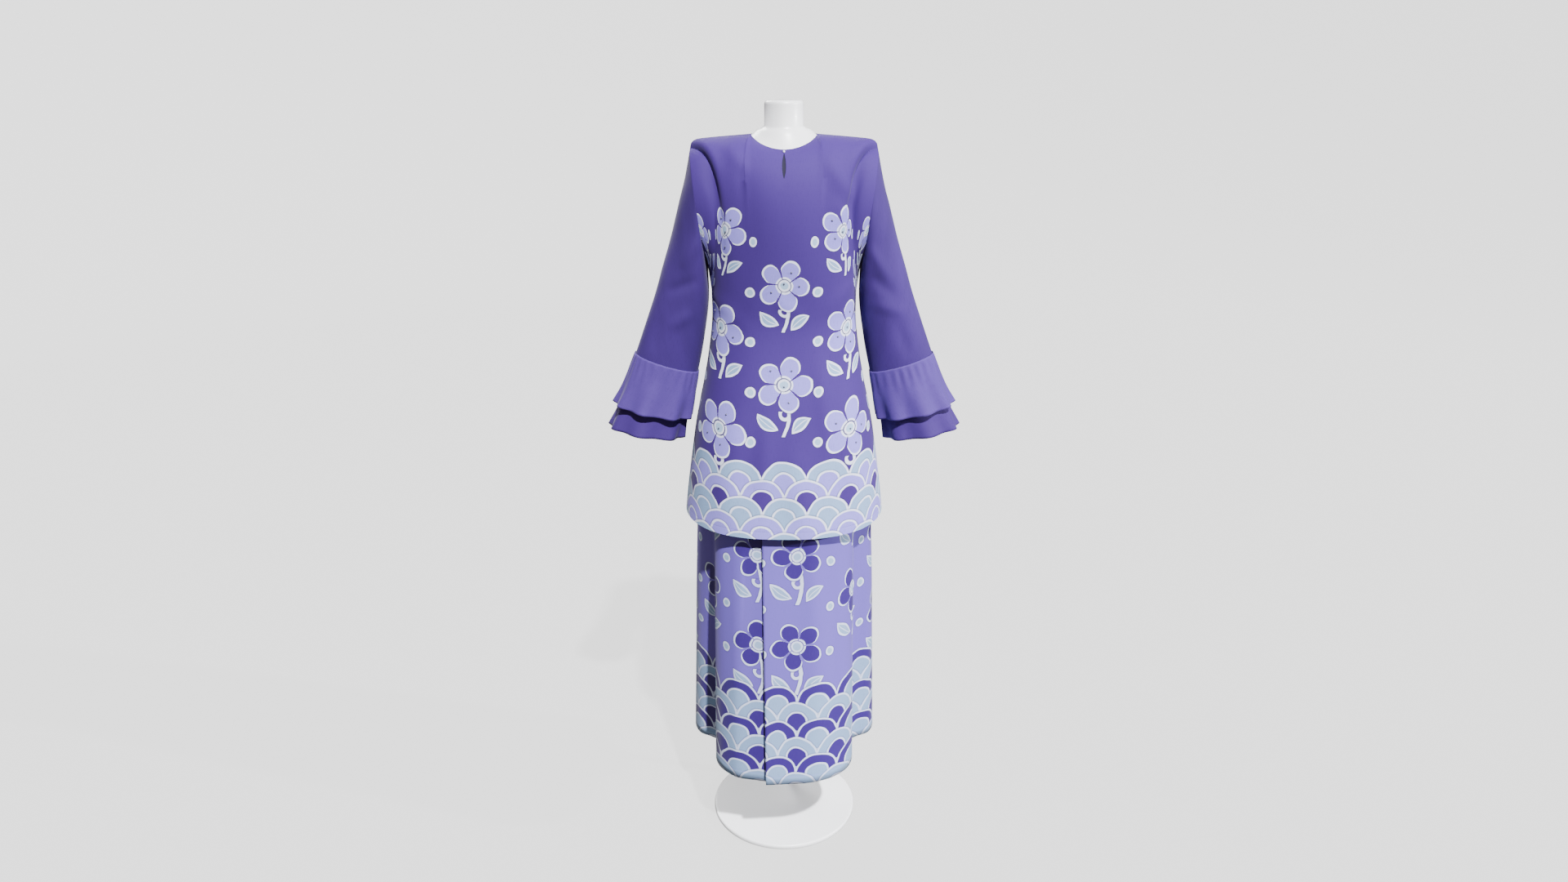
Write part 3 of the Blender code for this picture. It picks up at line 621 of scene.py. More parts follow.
def make_flower():
    """Puts out the distance to the petals and to the heart, in metres, below zero inside."""
    group, given, outside = new_group("flower", ("Petals", "Heart"), Middle=(0, 0, 0), Radius=0.05, Turn=0.0)
    across, up = centred(given)
    away, radius = length_of(across, up), given["Radius"]
    petal = ((up.node("ARCTAN2", across) + given["Turn"]) * 2.5).cosine().size()
    edge = radius * (petal.power(0.55) * 0.62 + 0.38)
    petals = (away - edge * petal.step(0.10, 0.22)).most(radius * 0.30 - away)
    feed(group, outside, Petals=petals, Heart=away - radius * 0.19)
    return group


def make_leaf():
    """Puts out the distance to a leaf that is pointed at both ends, and to its rib."""
    group, given, outside = new_group("leaf", ("Leaf", "Rib"), Middle=(0, 0, 0), Length=0.06,
                                      Cos=1.0, Sin=0.0)
    across, up = centred(given)
    cos, sin, length = given["Cos"], given["Sin"], given["Length"]
    along, beside = across * cos + up * sin, up * cos - across * sin
    t = along / length * 2.0
    bend = (beside + length * 0.10 * (t * t - 1.0)).size()
    feed(group, outside, Leaf=bend - length * 0.22 * (t * t).rest(), Rib=bend - 0.0007)
    return group


flower, leaf = make_flower(), make_leaf()

# %% [markdown]
# The motifs repeat in a half drop, as printed cloth does: the cloth is cut into equal cells, and every
# other column of cells sits half a cell lower. Each cell holds one flower, its stem with a curl and two
# leaves, and dots fill the gaps. The flowers grow smaller upwards. The border is tiers of scallops.

# %% Cells and tiers
Repeat = namedtuple("Repeat", "width height low high bloom smallest")
Leaf = namedtuple("Leaf", "across up length degrees")
Tier = namedtuple("Tier", "level half shift fill inner")
FLOWER_RISE = 0.018
CELL_LEAVES = [Leaf(-0.036, -0.064, 0.052, 142), Leaf(0.038, -0.072, 0.050, 38)]
DOT_RADIUS, COLUMN_TURN, ROW_TURN = 0.0085, 2.4, 1.3
STEM_FOOT, STEM_BENDS, STEM_SWAY, STEM_HALF = 0.094, 34.0, 0.010, 0.0016
CURL_ACROSS, CURL_DROP, CURL_RADIUS, CURL_HALF = 0.0005, 0.046, 0.010, 0.0012


def cell_middle(repeat, column, row):
    """Where on the flat cloth the flower of one cell is."""
    return (column * repeat.width,
            (row + 0.5) * repeat.height - (column % 2) * repeat.height / 2 + FLOWER_RISE)


def bloom_share(repeat, up):
    """How big a flower at this height is, against the largest; 0 where there are none."""
    if not repeat.low <= up <= repeat.high:
        return 0.0
    return 1 + (repeat.smallest - 1) * (up - repeat.low) / (repeat.high - repeat.low)


def half_drop(across, up, repeat):
    """Place inside the cell, the cell's share of the largest flower, and a turn of its own."""
    column = (across / repeat.width + 0.5).floor()
    odd = column.modulo(2.0)
    lifted = up + odd * (repeat.height / 2)
    row = (lifted / repeat.height).floor()
    beside = across - column * repeat.width
    above = lifted - (row + 0.5) * repeat.height
    centre = (row + 0.5) * repeat.height - odd * (repeat.height / 2)
    slope = (repeat.smallest - 1) / (repeat.high - repeat.low)
    share = (centre - repeat.low) * slope + 1.0
    shown = centre.step(repeat.low - 0.001, repeat.low) * centre.step(repeat.high + 0.001, repeat.high)
    return beside, above, share.most(0.1), shown, column * COLUMN_TURN + row * ROW_TURN


# %% The print of one cloth
WAX_HALF, WAX_EDGE, FAR = 0.0021, 0.0040, 0.2
SOFT_LINE, SOFT_EDGE = 0.0006, 0.0012
DRIFT, CLOUD = 0.010, 0.12


def wax_print(name, repeat, tiers, colours):
    """Colours the cloth from its place: ground, motifs, wax lines and the dark edge round them."""
    group, given, outside = new_group(name, ("Color", "Wax"))
    across, up = axes(given["Place"])
    across = across + (noise(given["Place"], 22.0) - 0.5) * DRIFT
    up = up + (noise(given["Place"], 19.0, 1.0) - 0.5) * DRIFT
    beside, above, share, shown, turn = half_drop(across, up, repeat)
    own_across, own_up = beside / share, above / share
    place = feed(group, group.nodes.new("ShaderNodeCombineXYZ"), X=own_across, Y=own_up).outputs[0]

    def in_metres(distance):
        return distance * share + shown.rest() * FAR

    drawn = place_group(group, flower, Place=place, Middle=(0, FLOWER_RISE, 0), Radius=repeat.bloom,
                        Turn=turn)
    petals, hearts = in_metres(drawn["Petals"]), in_metres(drawn["Heart"])
    blades, ribs = [], []
    for blade in CELL_LEAVES:
        angle = math.radians(blade.degrees)
        drawn = place_group(group, leaf, Place=place, Middle=(blade.across, blade.up, 0), Length=blade.length,
                            Cos=math.cos(angle), Sin=math.sin(angle))
        blades.append(in_metres(drawn["Leaf"]))
        ribs.append(in_metres(drawn["Rib"]).most(blades[-1] + 0.003))
    blades, ribs = (first.least(second) for first, second in (blades, ribs))
    foot = own_up + STEM_FOOT
    stem = (own_across - (foot * STEM_BENDS).sine() * STEM_SWAY).size() - STEM_HALF
    stem = in_metres(stem.most(own_up - FLOWER_RISE).most(foot * -1.0))
    curl_up = own_up + CURL_DROP
    curl = (length_of(own_across - CURL_ACROSS, curl_up) - CURL_RADIUS).size() - CURL_HALF
    stem = stem.least(in_metres(curl.most(curl_up - 0.003)))
    gap = beside.size() - repeat.width / 2
    level = (above + repeat.height / 4).modulo(repeat.height / 2) - repeat.height / 4
    dot_up = up - level
    kept = dot_up.step(repeat.low - 0.02, repeat.low - 0.019) * dot_up.step(repeat.high, repeat.high - 0.001)
    dots = length_of(gap, level) - DOT_RADIUS + kept.rest() * FAR
    around = (petals.least(hearts) - 0.004) * -1.0
    stem, blades, ribs = stem.most(around), blades.most(around), ribs.most(around)

    cloudy = noise(given["Place"], 7.0, 3.0)
    colour = mix(group, (cloudy - 0.5) * (2 * CLOUD) + 0.5, colours["deep"], colours["ground"])
    layers = [(dots, "heart"), (stem, "stem"), (blades, "leaf"), (petals, "petal"), (hearts, "heart")]
    for tier in tiers:
        rise = up - tier.level
        ring = length_of((across + tier.shift * tier.half).cycle(tier.half), rise)
        layers.append(((ring - tier.half).least(rise), tier.fill))
        layers.append((ring - tier.half * 0.52, tier.inner))
    wax = None
    for distance, fill in layers:
        dark = distance.size().step(WAX_EDGE + SOFT_EDGE, WAX_EDGE - SOFT_EDGE) * 0.45
        colour = mix(group, dark, colour, colours["edge"])
        tone = mix(group, cloudy, colours[fill], toned(colours[fill], 0.86))
        filled = distance.step(SOFT_LINE, -SOFT_LINE)
        colour = mix(group, filled, colour, tone)
        line = distance.size().step(WAX_HALF + SOFT_LINE, WAX_HALF - SOFT_LINE)
        colour = mix(group, line, colour, colours["wax"])
        wax = line if wax is None else (wax * filled.rest()).most(line)
    line = ribs.step(0.0008, -0.0004) * (up - tiers[0].level - tiers[0].half).step(0.0, 0.004)
    feed(group, outside, Color=mix(group, line, colour, colours["wax"]), Wax=wax.most(line))
    print(name, "nodes", len(group.nodes))
    return group


# %% [markdown]
# The tunic's cloth is violet with pale flowers; the skirt's is lavender with violet flowers and a border
# of scallops at the hem. A stitched hem is a row of short threads at a set height above the edge.

# %% Stitches and cloth materials
STITCH_LENGTH, STITCH_GAP, STITCH_HALF = 0.0030, 0.0012, 0.00055
THREAD_RISE, WAX_RISE, STITCH_RISE, STITCH_PULL = 0.0001, 0.00008, 0.00025, 0.0004
THREAD_BUMP = 0.35


def make_stitches():
    group, given, outside = new_group("stitches", ("Mask", "Pull"), Height=0.018)
    across, up = axes(given["Place"])
    beside = (up - given["Height"]).size()
    dash = (across + 3.0).node("MODULO", STITCH_LENGTH + STITCH_GAP)
    mask = beside.step(STITCH_HALF, 0.00030) * (dash - STITCH_GAP).step(0.0, 0.0003)
    feed(group, outside, Mask=mask, Pull=beside.step(0.0035, 0.0))
    return group


stitches = make_stitches()


def cloth_material(name, ground, deep, print_group=None, hem=None, roughness=0.78, sheen=0.08, slub=0.5):
    """Woven cotton: its colour or its print, slubs, hem stitches, and a bump from threads and wax."""
    material, tree, shader = new_material(name, Sheen_Weight=sheen, Sheen_Roughness=0.4,
                                          Specular_IOR_Level=0.35)
    flat_cloth = tree.nodes.new("ShaderNodeUVMap")
    flat_cloth.uv_map = "cloth"
    place = Sum(tree, flat_cloth.outputs[0])
    threads = place_group(tree, weave, Place=place, Slub=slub)
    slubs, height = threads["Slubs"], threads["Height"] * THREAD_RISE
    if print_group:
        drawn = place_group(tree, print_group, Place=place)
        colour = drawn["Color"]
        height = height + drawn["Wax"] * WAX_RISE
    else:
        colour = mix(tree, noise(place, 6.0, 3.0).step(0.35, 0.65), deep, ground)
    colour = mix(tree, slubs * 0.55, colour, toned(deep, 0.62))
    if hem is not None:
        row = place_group(tree, stitches, Place=place, Height=hem)
        colour = mix(tree, row["Mask"] * 0.6, colour, toned(ground, 1.5))
        height = height + row["Mask"] * STITCH_RISE - row["Pull"] * STITCH_PULL
    feed(tree, shader, Base_Color=colour, Roughness=slubs * 0.2 + roughness)
    add_bump(tree, shader, height, THREAD_BUMP, 1.0)
    return material


# %% The tunic's print
TUNIC_REPEAT = Repeat(0.140, 0.205, 0.180, 0.640, 0.061, 0.80)
TUNIC_TIERS = [Tier(0.118 - 0.038 * i, 0.046, i % 2, ("pale", "petal")[i % 2],
                    ("petal", "ground", "pale")[i % 3]) for i in range(5)]
VIOLET = {"ground": srgb(61, 34, 117), "deep": srgb(54, 29, 106), "edge": srgb(30, 18, 72),
          "wax": srgb(216, 222, 244), "petal": srgb(140, 131, 224), "heart": srgb(158, 188, 220),
          "leaf": srgb(134, 164, 204), "stem": srgb(146, 178, 212), "pale": srgb(134, 164, 204)}
tunic_print = wax_print("tunic_print", TUNIC_REPEAT, TUNIC_TIERS, VIOLET)
VIOLET_GROUND, VIOLET_DEEP = srgb(58, 33, 111), srgb(51, 28, 100)
tunic_cloth = cloth_material("tunic_cloth", VIOLET_GROUND, VIOLET_DEEP, tunic_print, hem=0.016)
sleeve_cloth = cloth_material("sleeve_cloth", VIOLET_GROUND, VIOLET_DEEP, slub=0.9)

# %% Tunic panels
TUNIC_CREASES = crease_table(
    [(0.078, 1.585, 0.132, 1.49, 0.015, 0.0048), (0.1, 1.5, 0.128, 1.42, 0.014, 0.0028),
     (-0.112, 1.6, -0.072, 1.545, 0.012, 0.0031), (-0.15, 1.52, -0.118, 1.4, 0.012, 0.0031),
     (0.15, 1.33, 0.08, 1.27, 0.01, 0.0025), (-0.15, 1.3, -0.07, 1.235, 0.011, 0.0028),
     (0.12, 1.12, 0.165, 0.815, 0.026, 0.0063), (-0.095, 1.08, -0.135, 0.815, 0.03, 0.0056),
     (0.02, 1.0, 0.045, 0.805, 0.03, 0.005), (-0.03, 1.06, -0.05, 0.9, 0.02, 0.0034),
     (0.07, 1.19, 0.095, 0.98, 0.018, 0.0036), (-0.02, 1.3, 0.045, 1.255, 0.012, 0.0022)],
    [(0.105, 1.56, 0.06, 1.4, 0.016, 0.0049), (-0.12, 1.54, -0.075, 1.42, 0.013, 0.0042),
     (0.0, 1.6, 0.01, 1.48, 0.018, 0.0031), (-0.14, 1.32, -0.06, 1.25, 0.011, 0.0034),
     (0.148, 1.31, 0.05, 1.262, 0.01, 0.0036), (0.085, 1.13, 0.11, 0.82, 0.027, 0.007),
     (-0.04, 1.16, -0.05, 0.815, 0.024, 0.0059), (-0.14, 1.06, -0.17, 0.82, 0.022, 0.0064)])
SEAM_HALF = 0.0003
SEWN_TOP, SEWN_SIDE = 0.030, 0.025
CHEST_EDGE, CHEST_FULL, CHEST_LOW, CHEST_HIGH = 0.130, 0.092, 1.28, 1.36


def hem_height(side):
    middle = TUNIC_HEM_FRONT if side < 0 else TUNIC_HEM_BACK

    def height(along):
        angle = math.radians(read_table(TOP_EDGE, "angle", along))
        return TUNIC_HEM_SIDE + (middle - TUNIC_HEM_SIDE) * math.sin(angle) ** 2
    return height


def sewn_down(grid):
    """0 along the seams and the neckline, 1 a little way in; the hem is free."""
    from_top = np.linalg.norm(grid - grid[-1:], axis=2)
    return smooth(from_top, 0.0, SEWN_TOP) * smooth(np.abs(grid[:, :, 1]), 0.0, SEWN_SIDE)


def tunic_panel(name, side, node):
    grid = body_grid(TUNIC_SECTIONS, side, hem_height(side))
    grid[..., 1] = np.where(np.abs(grid[..., 1]) < 1e-6, side * SEAM_HALF, grid[..., 1])
    place = arc_map(grid)
    chest = (smooth(np.abs(grid[..., 0]), CHEST_EDGE, CHEST_FULL)
             * smooth(grid[..., 2], CHEST_LOW, CHEST_HIGH))
    grid = grid + (filled_out(grid) - grid) * (sewn_down(grid) * chest)[..., None]
    grid = creased(grid, TUNIC_CREASES, sewn_down(grid))
    piece = cloth(name, grid, tunic_cloth, place=place)
    return finish_piece(piece, "violet_cloth", node), grid, place


tunic_front, front_grid, front_place = tunic_panel("tunic_front_cloth", -1, "tunic_front")
tunic_back, _, _ = tunic_panel("tunic_back_cloth", 1, "tunic_back")

# %% [markdown]
# The slit below the neckline is a narrow keyhole. It is cut through the cloth with a lens-shaped cutter,
# and a strip of facing lies behind it. The facing is coloured far darker than the tunic's violet, as painted
# shade inside the opening, so the opening looks dark violet.

# %% Neck slit
SLIT_TOP, SLIT_BOTTOM, SLIT_WIDTH, SLIT_POINTS = 1.5815, 1.5340, 0.0080, 32
SLIT_MIDDLE = (SLIT_TOP + SLIT_BOTTOM) / 2
CUT_REACH, PLAIN_PLACE = 0.03, (0.03, 0.76)
FACING_HALF, FACING_BEHIND, FACING_BEND, FACING_WALL = 0.009, 0.0015, 5.0, 0.0002


def front_middle(height, depth=0.0):
    """On the middle thread of the front at a height, moved in by a depth."""
    thread = front_grid[:, front_grid.shape[1] // 2]
    y = np.interp(height, thread[:, 2], thread[:, 1])
    return Vector((0, float(y) + depth, height))


def lens_outline():
    """The outline of the slit, pointed at both ends."""
    turns = [2 * math.pi * i / SLIT_POINTS for i in range(SLIT_POINTS)]
    return [(SLIT_WIDTH / 2 * math.cos(a) * abs(math.cos(a)),
             SLIT_MIDDLE + (SLIT_TOP - SLIT_BOTTOM) / 2 * math.sin(a)) for a in turns]


def cut_slit(piece):
    bm = bmesh.new()
    start = front_middle(SLIT_MIDDLE).y - CUT_REACH
    bmesh.ops.contextual_create(bm, geom=[bm.verts.new((x, start, z)) for x, z in lens_outline()])
    walls = bmesh.ops.extrude_face_region(bm, geom=bm.faces[:])
    moved = [v for v in walls["geom"] if isinstance(v, bmesh.types.BMVert)]
    bmesh.ops.translate(bm, verts=moved, vec=(0, 2 * CUT_REACH, 0))
    bmesh.ops.recalc_face_normals(bm, faces=bm.faces[:])
    cutter = add_object("slit_cutter", mesh_from("slit_cutter", bm))
    cut = piece.modifiers.new("Slit", "BOOLEAN")
    cut.object, cut.operation, cut.solver = cutter, "DIFFERENCE", "EXACT"
    select_only(piece)
    for modifier in ("Wall", "Slit"):
        bpy.ops.object.modifier_apply(modifier=modifier)
    bpy.data.objects.remove(cutter)
    layer = piece.data.uv_layers["cloth"].data
    for face in piece.data.polygons:
        x, _, z = face.center
        if abs(x) < SLIT_WIDTH / 2 and SLIT_BOTTOM < z < SLIT_TOP and abs(face.normal.y) < 0.5:
            for loop in face.loop_indices:
                layer[loop].uv = PLAIN_PLACE
    piece.data.shade_smooth()
    bpy.ops.object.shade_smooth_by_angle(angle=math.radians(50))


cut_slit(tunic_front)

# The facing's colours are much darker than the tunic's violet: painted shade for the hollow behind the slit.
facing_painted_shade = cloth_material("facing_painted_shade", srgb(24, 19, 50), srgb(19, 15, 42), slub=0.3)
facing_grid = np.array([[[x, front_middle(z, FACING_BEHIND).y + FACING_BEND * x * x, z]
                         for x in np.linspace(FACING_HALF, -FACING_HALF, 7)]
                        for z in np.linspace(SLIT_BOTTOM - 0.008, SLIT_TOP + 0.004, 16)])
facing = finish_piece(cloth("slit_facing", facing_grid, facing_painted_shade, wall=FACING_WALL), "violet_cloth")

# %% [markdown]
# Sleeves hang from the armholes in slanted rings: each ring has an outer and an inner point and a half
# depth. They widen a little to the wrist, where two gathered ruffles are sewn on.

# %% Sleeves
SleeveRing = namedtuple("SleeveRing", "place outer_x outer_z inner_x inner_z half_depth")
SLEEVE_RINGS = table(
    SleeveRing,
    (0.0, 0.189, 1.585, 0.16, 1.36, 0.068), (1.0, 0.1966, 1.5476, 0.1588, 1.335, 0.0665),
    (2.0, 0.208, 1.499, 0.1577, 1.308, 0.0635), (3.0, 0.2222, 1.4498, 0.1578, 1.285, 0.06),
    (4.0, 0.2366, 1.3998, 0.1596, 1.262, 0.0565), (5.0, 0.2529, 1.3489, 0.1628, 1.238, 0.053),
    (6.0, 0.2686, 1.2973, 0.1668, 1.213, 0.0495), (7.0, 0.2871, 1.2449, 0.1716, 1.184, 0.046),
    (8.0, 0.306, 1.193, 0.1785, 1.15, 0.043), (9.0, 0.317, 1.163, 0.185, 1.121, 0.0415),
    (10.0, 0.3212, 1.15, 0.188, 1.109, 0.0415), (11.0, 0.3395, 1.102, 0.1965, 1.07, 0.042),
    (12.0, 0.358, 1.05, 0.2105, 1.02, 0.048), (13.0, 0.382, 1.001, 0.2205, 0.973, 0.059))
UPPER_RUFFLE_RINGS = table(
    SleeveRing,
    (0.0, 0.3196, 1.164, 0.1828, 1.122, 0.044), (1.0, 0.335, 1.125, 0.188, 1.089, 0.048),
    (2.0, 0.351, 1.087, 0.1935, 1.056, 0.055), (3.0, 0.369, 1.054, 0.202, 1.018, 0.063))
WaveRow = namedtuple("WaveRow", "place height")
UPPER_WAVES = table(WaveRow, (0, 0.0), (1, 0.0006), (2, 0.0024), (3, 0.0046))
LOWER_WAVES = table(WaveRow, (10, 0.0), (11, 0.0), (12, 0.0010), (13, 0.0045))
WAVE_UNEVENNESS = 0.6


def ring_frame(rings, place):
    outer_x, outer_z, inner_x, inner_z, half_depth = read_row(rings, place)
    outer, inner = Vector((outer_x, 0, outer_z)), Vector((inner_x, 0, inner_z))
    return (outer + inner) / 2, (outer - inner) / 2, half_depth


def tube_grid(rings, places, count, stand=lambda place, angle: 0.0):
    """Rings of a sleeve or ruffle; stand says how far a point is moved out from the plain ring."""
    rows = []
    for place in places:
        middle, reach, half_depth = ring_frame(rings, place)
        row = []
        for i in range(count):
            angle = 2 * math.pi * i / count
            outward = reach.normalized() * math.cos(angle) + Vector((0, -math.sin(angle), 0))
            row.append(middle + reach * math.cos(angle) + Vector((0, -half_depth * math.sin(angle), 0))
                       + outward * stand(place, angle))
        rows.append(row)
    return np.array(rows)


def handed(grid, hand):
    return grid * (hand, 1, 1)


RIGHT_SLEEVE_CREASES = crease_table(
    [(0.17, 1.4, 0.215, 1.33, 0.01, 0.0035), (0.172, 1.34, 0.235, 1.29, 0.012, -0.0035),
     (0.18, 1.28, 0.255, 1.255, 0.011, 0.003), (0.205, 1.5, 0.2, 1.4, 0.016, 0.0028),
     (0.235, 1.24, 0.265, 1.16, 0.013, -0.0028)],
    [(0.175, 1.38, 0.23, 1.32, 0.012, 0.004), (0.18, 1.3, 0.26, 1.27, 0.011, -0.0038),
     (0.2, 1.48, 0.205, 1.4, 0.015, 0.0032), (0.24, 1.25, 0.255, 1.15, 0.014, 0.003)])
LEFT_SLEEVE_CREASES = crease_table(
    [(-0.172, 1.415, -0.208, 1.35, 0.011, 0.0032), (-0.175, 1.33, -0.245, 1.3, 0.01, -0.0032),
     (-0.19, 1.26, -0.24, 1.225, 0.012, 0.003), (-0.202, 1.52, -0.21, 1.43, 0.014, 0.0024),
     (-0.255, 1.25, -0.28, 1.17, 0.012, -0.0026)],
    [(-0.178, 1.36, -0.24, 1.33, 0.012, 0.0038), (-0.185, 1.29, -0.25, 1.25, 0.012, -0.0036),
     (-0.21, 1.5, -0.2, 1.39, 0.016, 0.003), (-0.225, 1.22, -0.25, 1.14, 0.013, 0.0034)])
SLEEVE_SIDES, HEAD_PLACES, LENGTH_PLACES = 72, np.linspace(0, 0.5, 6)[:-1], np.linspace(0.5, 10, 58)
SINK_PLACE, SINK_WIDTH, SINK_DEPTH = 0.02, 0.05, 0.0005


def make_sleeve(name, hand, creases, node):
    places = np.concatenate([HEAD_PLACES, LENGTH_PLACES])
    grid = handed(tube_grid(SLEEVE_RINGS, places, SLEEVE_SIDES), hand)
    place = arc_map(grid, closed=True)
    hold = smooth(places, 0.0, 1.6) * (1 - 0.7 * smooth(places, 9.0, 10.0))
    grid = creased(grid, creases, hold[:, None], closed=True)
    sunk = np.exp(-((places - SINK_PLACE) / SINK_WIDTH) ** 2)
    grid = grid - face_normals(grid) * (SINK_DEPTH * sunk)[:, None, None]
    place[..., 1] = place[..., 1].max() - place[..., 1]
    return finish_piece(cloth(name, grid, sleeve_cloth, closed=True, place=place), "violet_cloth", node)


sleeves = [make_sleeve("sleeve_cloth_right", 1, RIGHT_SLEEVE_CREASES, "sleeve_right"),
           make_sleeve("sleeve_cloth_left", -1, LEFT_SLEEVE_CREASES, "sleeve_left")]

# %% [markdown]
# A ruffle is a strip longer than the edge it is sewn to. Close to the seam the spare cloth stands in many
# tight gathers; lower down they run together into a few deep waves.

# %% Ruffles
upper_ruffle_cloth = cloth_material("upper_ruffle_cloth", srgb(78, 55, 136), srgb(70, 48, 125),
                                    hem=0.006, slub=1.1)
lower_ruffle_cloth = cloth_material("lower_ruffle_cloth", srgb(61, 36, 115), srgb(54, 30, 104),
                                    hem=0.006, slub=0.9)
GATHERS, GATHER_HEIGHT, GATHER_UNEVENNESS = 23, 0.0007, 1.3
GATHERS_AT, GATHERS_SPREAD, GATHERS_START = 0.16, 0.26, 0.06
RUFFLE_ROWS, RUFFLE_SIDES = 30, 220


def ruffle_stand(waves, rows, start, end, shift, seed):
    def stand(place, angle):
        free = (place - start) / (end - start)
        turn = waves * angle + shift + WAVE_UNEVENNESS * math.sin(2 * angle)
        wave = read_table(rows, "height", place) * math.cos(turn)
        gather = GATHER_HEIGHT * math.cos(GATHERS * angle + GATHER_UNEVENNESS * math.sin(3 * angle + seed))
        fade = math.exp(-((free - GATHERS_AT) / GATHERS_SPREAD) ** 2) * min(free / GATHERS_START, 1.0)
        return wave + gather * fade
    return stand


def make_ruffle(name, rings, rows, waves, shift, hand, material, slot, node):
    start, end = rows[0].place, rows[-1].place
    stand = ruffle_stand(waves, rows, start, end, shift, 2.0 * hand)
    grid = handed(tube_grid(rings, np.linspace(start, end, RUFFLE_ROWS), RUFFLE_SIDES, stand), hand)
    place = arc_map(grid, closed=True)
    place[..., 1] = place[..., 1].max() - place[..., 1]
    return finish_piece(cloth(name, grid, material, closed=True, place=place), slot, node)


for word, hand in (("right", 1), ("left", -1)):
    make_ruffle("upper_ruffle_cloth_" + word, UPPER_RUFFLE_RINGS, UPPER_WAVES, 9, 0.0, hand,
                               upper_ruffle_cloth, "ruffle_cloth", "ruffle_upper_" + word)
    make_ruffle("lower_ruffle_cloth_" + word, SLEEVE_RINGS, LOWER_WAVES, 8, 1.0, hand,
                               lower_ruffle_cloth, "violet_cloth", "ruffle_lower_" + word)

# %% [markdown]
# The skirt is one long cloth wrapped round the hips. Its right end lies over the left one at the front,
# and at each side the cloth turns in to a deep fold, so the front hangs as a panel between two lobes.

# %% Skirt
SKIRT_TOP, SKIRT_HEM = 1.2450, 0.2370
FOLDS_START, FOLD_GROWTH = 1.1000, 0.7
LAP_AT_WAIST, LAP_AT_HEM = 0.0032, 0.0085
TUCK_START, TUCK_LENGTH = 328.0, 18.0
SKIRT_SECTIONS = table(
    Section,
    (0.237, 0.215, 0.241, 0.205), (0.381, 0.21, 0.223, 0.198), (0.513, 0.2055, 0.207, 0.191),
    (0.641, 0.2015, 0.19, 0.182), (0.764, 0.1965, 0.172, 0.166), (0.85, 0.194, 0.162, 0.152),
    (0.941, 0.19, 0.151, 0.141), (1.0, 0.184, 0.143, 0.133), (1.055, 0.176, 0.1335, 0.124),
    (1.11, 0.1655, 0.121, 0.113), (1.165, 0.155, 0.108, 0.101), (1.218, 0.1485, 0.1005, 0.093),
    (1.25, 0.147, 0.099, 0.092), (1.285, 0.147, 0.1, 0.0925))
PlanPoint = namedtuple("PlanPoint", "angle x y")
SKIRT_PLAN = table(
    PlanPoint,
    (-12.0, -0.04, -0.244), (0.0, 0.0, -0.241), (18.0, 0.062, -0.234), (32.0, 0.112, -0.213),
    (42.0, 0.144, -0.18), (48.0, 0.157, -0.142), (53.0, 0.152, -0.108), (58.0, 0.15, -0.08),
    (65.0, 0.168, -0.064), (77.0, 0.202, -0.042), (90.0, 0.215, 0.0), (103.0, 0.206, 0.048),
    (114.0, 0.172, 0.086), (122.0, 0.148, 0.112), (130.0, 0.15, 0.15), (142.0, 0.12, 0.188),
    (156.0, 0.07, 0.196), (169.0, 0.03, 0.185), (182.0, -0.008, 0.196), (198.0, -0.06, 0.205),
    (214.0, -0.112, 0.188), (226.0, -0.142, 0.152), (236.0, -0.146, 0.118), (246.0, -0.174, 0.085),
    (257.0, -0.206, 0.044), (270.0, -0.215, 0.0), (283.0, -0.201, -0.043), (295.0, -0.168, -0.065),
    (302.0, -0.15, -0.08), (307.0, -0.152, -0.108), (312.0, -0.157, -0.142), (318.0, -0.144, -0.179),
    (328.0, -0.112, -0.211), (337.0, -0.08, -0.227), (347.0, -0.043, -0.239), (364.0, 0.014, -0.24))


def oval_point(angle, wide, front, back, height):
    """On the plain oval of the waist and hips; the angle runs from the front to the right."""
    across, forward = math.sin(math.radians(angle)), math.cos(math.radians(angle))
    power = 2.0 / SQUARENESS
    deep = front if forward > 0 else back
    return Vector((wide * signed_power(across, power), -deep * signed_power(forward, power), height))


def skirt_row(angles, plan, height):
    """One level of the skirt; its plan goes from the plain oval to the folds of the hem."""
    wide, front, back = read_row(SKIRT_SECTIONS, height)
    hem = SKIRT_SECTIONS[0]
    fold = min(max((FOLDS_START - height) / (FOLDS_START - SKIRT_HEM), 0.0), 1.0) ** FOLD_GROWTH
    row = []
    for angle, (x, y) in zip(angles, plan):
        deep = front / hem.front if math.cos(math.radians(angle)) > 0 else back / hem.back
        folded = Vector((x * wide / hem.half_width, y * deep, height))
        point = oval_point(angle, wide, front, back, height).lerp(folded, fold)
        tucked = float(smooth(angle, TUCK_START, TUCK_START + TUCK_LENGTH))
        inwards = Vector((-point.x, -point.y, 0)).normalized()
        row.append(point + inwards * tucked * (LAP_AT_WAIST + (LAP_AT_HEM - LAP_AT_WAIST) * fold))
    return row


SKIRT_CREASES = crease_table(
    [(0.055, 1.0, 0.078, 0.24, 0.022, 0.003), (-0.085, 0.9, -0.105, 0.24, 0.02, 0.0034),
     (0.11, 0.7, 0.118, 0.24, 0.014, -0.0028), (0.186, 0.8, 0.2, 0.26, 0.012, 0.003),
     (-0.184, 0.82, -0.198, 0.25, 0.012, -0.0026)],
    [(0.06, 0.95, 0.055, 0.24, 0.018, 0.005), (-0.07, 0.98, -0.08, 0.245, 0.02, 0.0056),
     (0.11, 0.86, 0.122, 0.25, 0.015, -0.004), (-0.015, 0.7, -0.012, 0.24, 0.014, -0.0044),
     (-0.18, 0.76, -0.19, 0.25, 0.014, 0.004)])

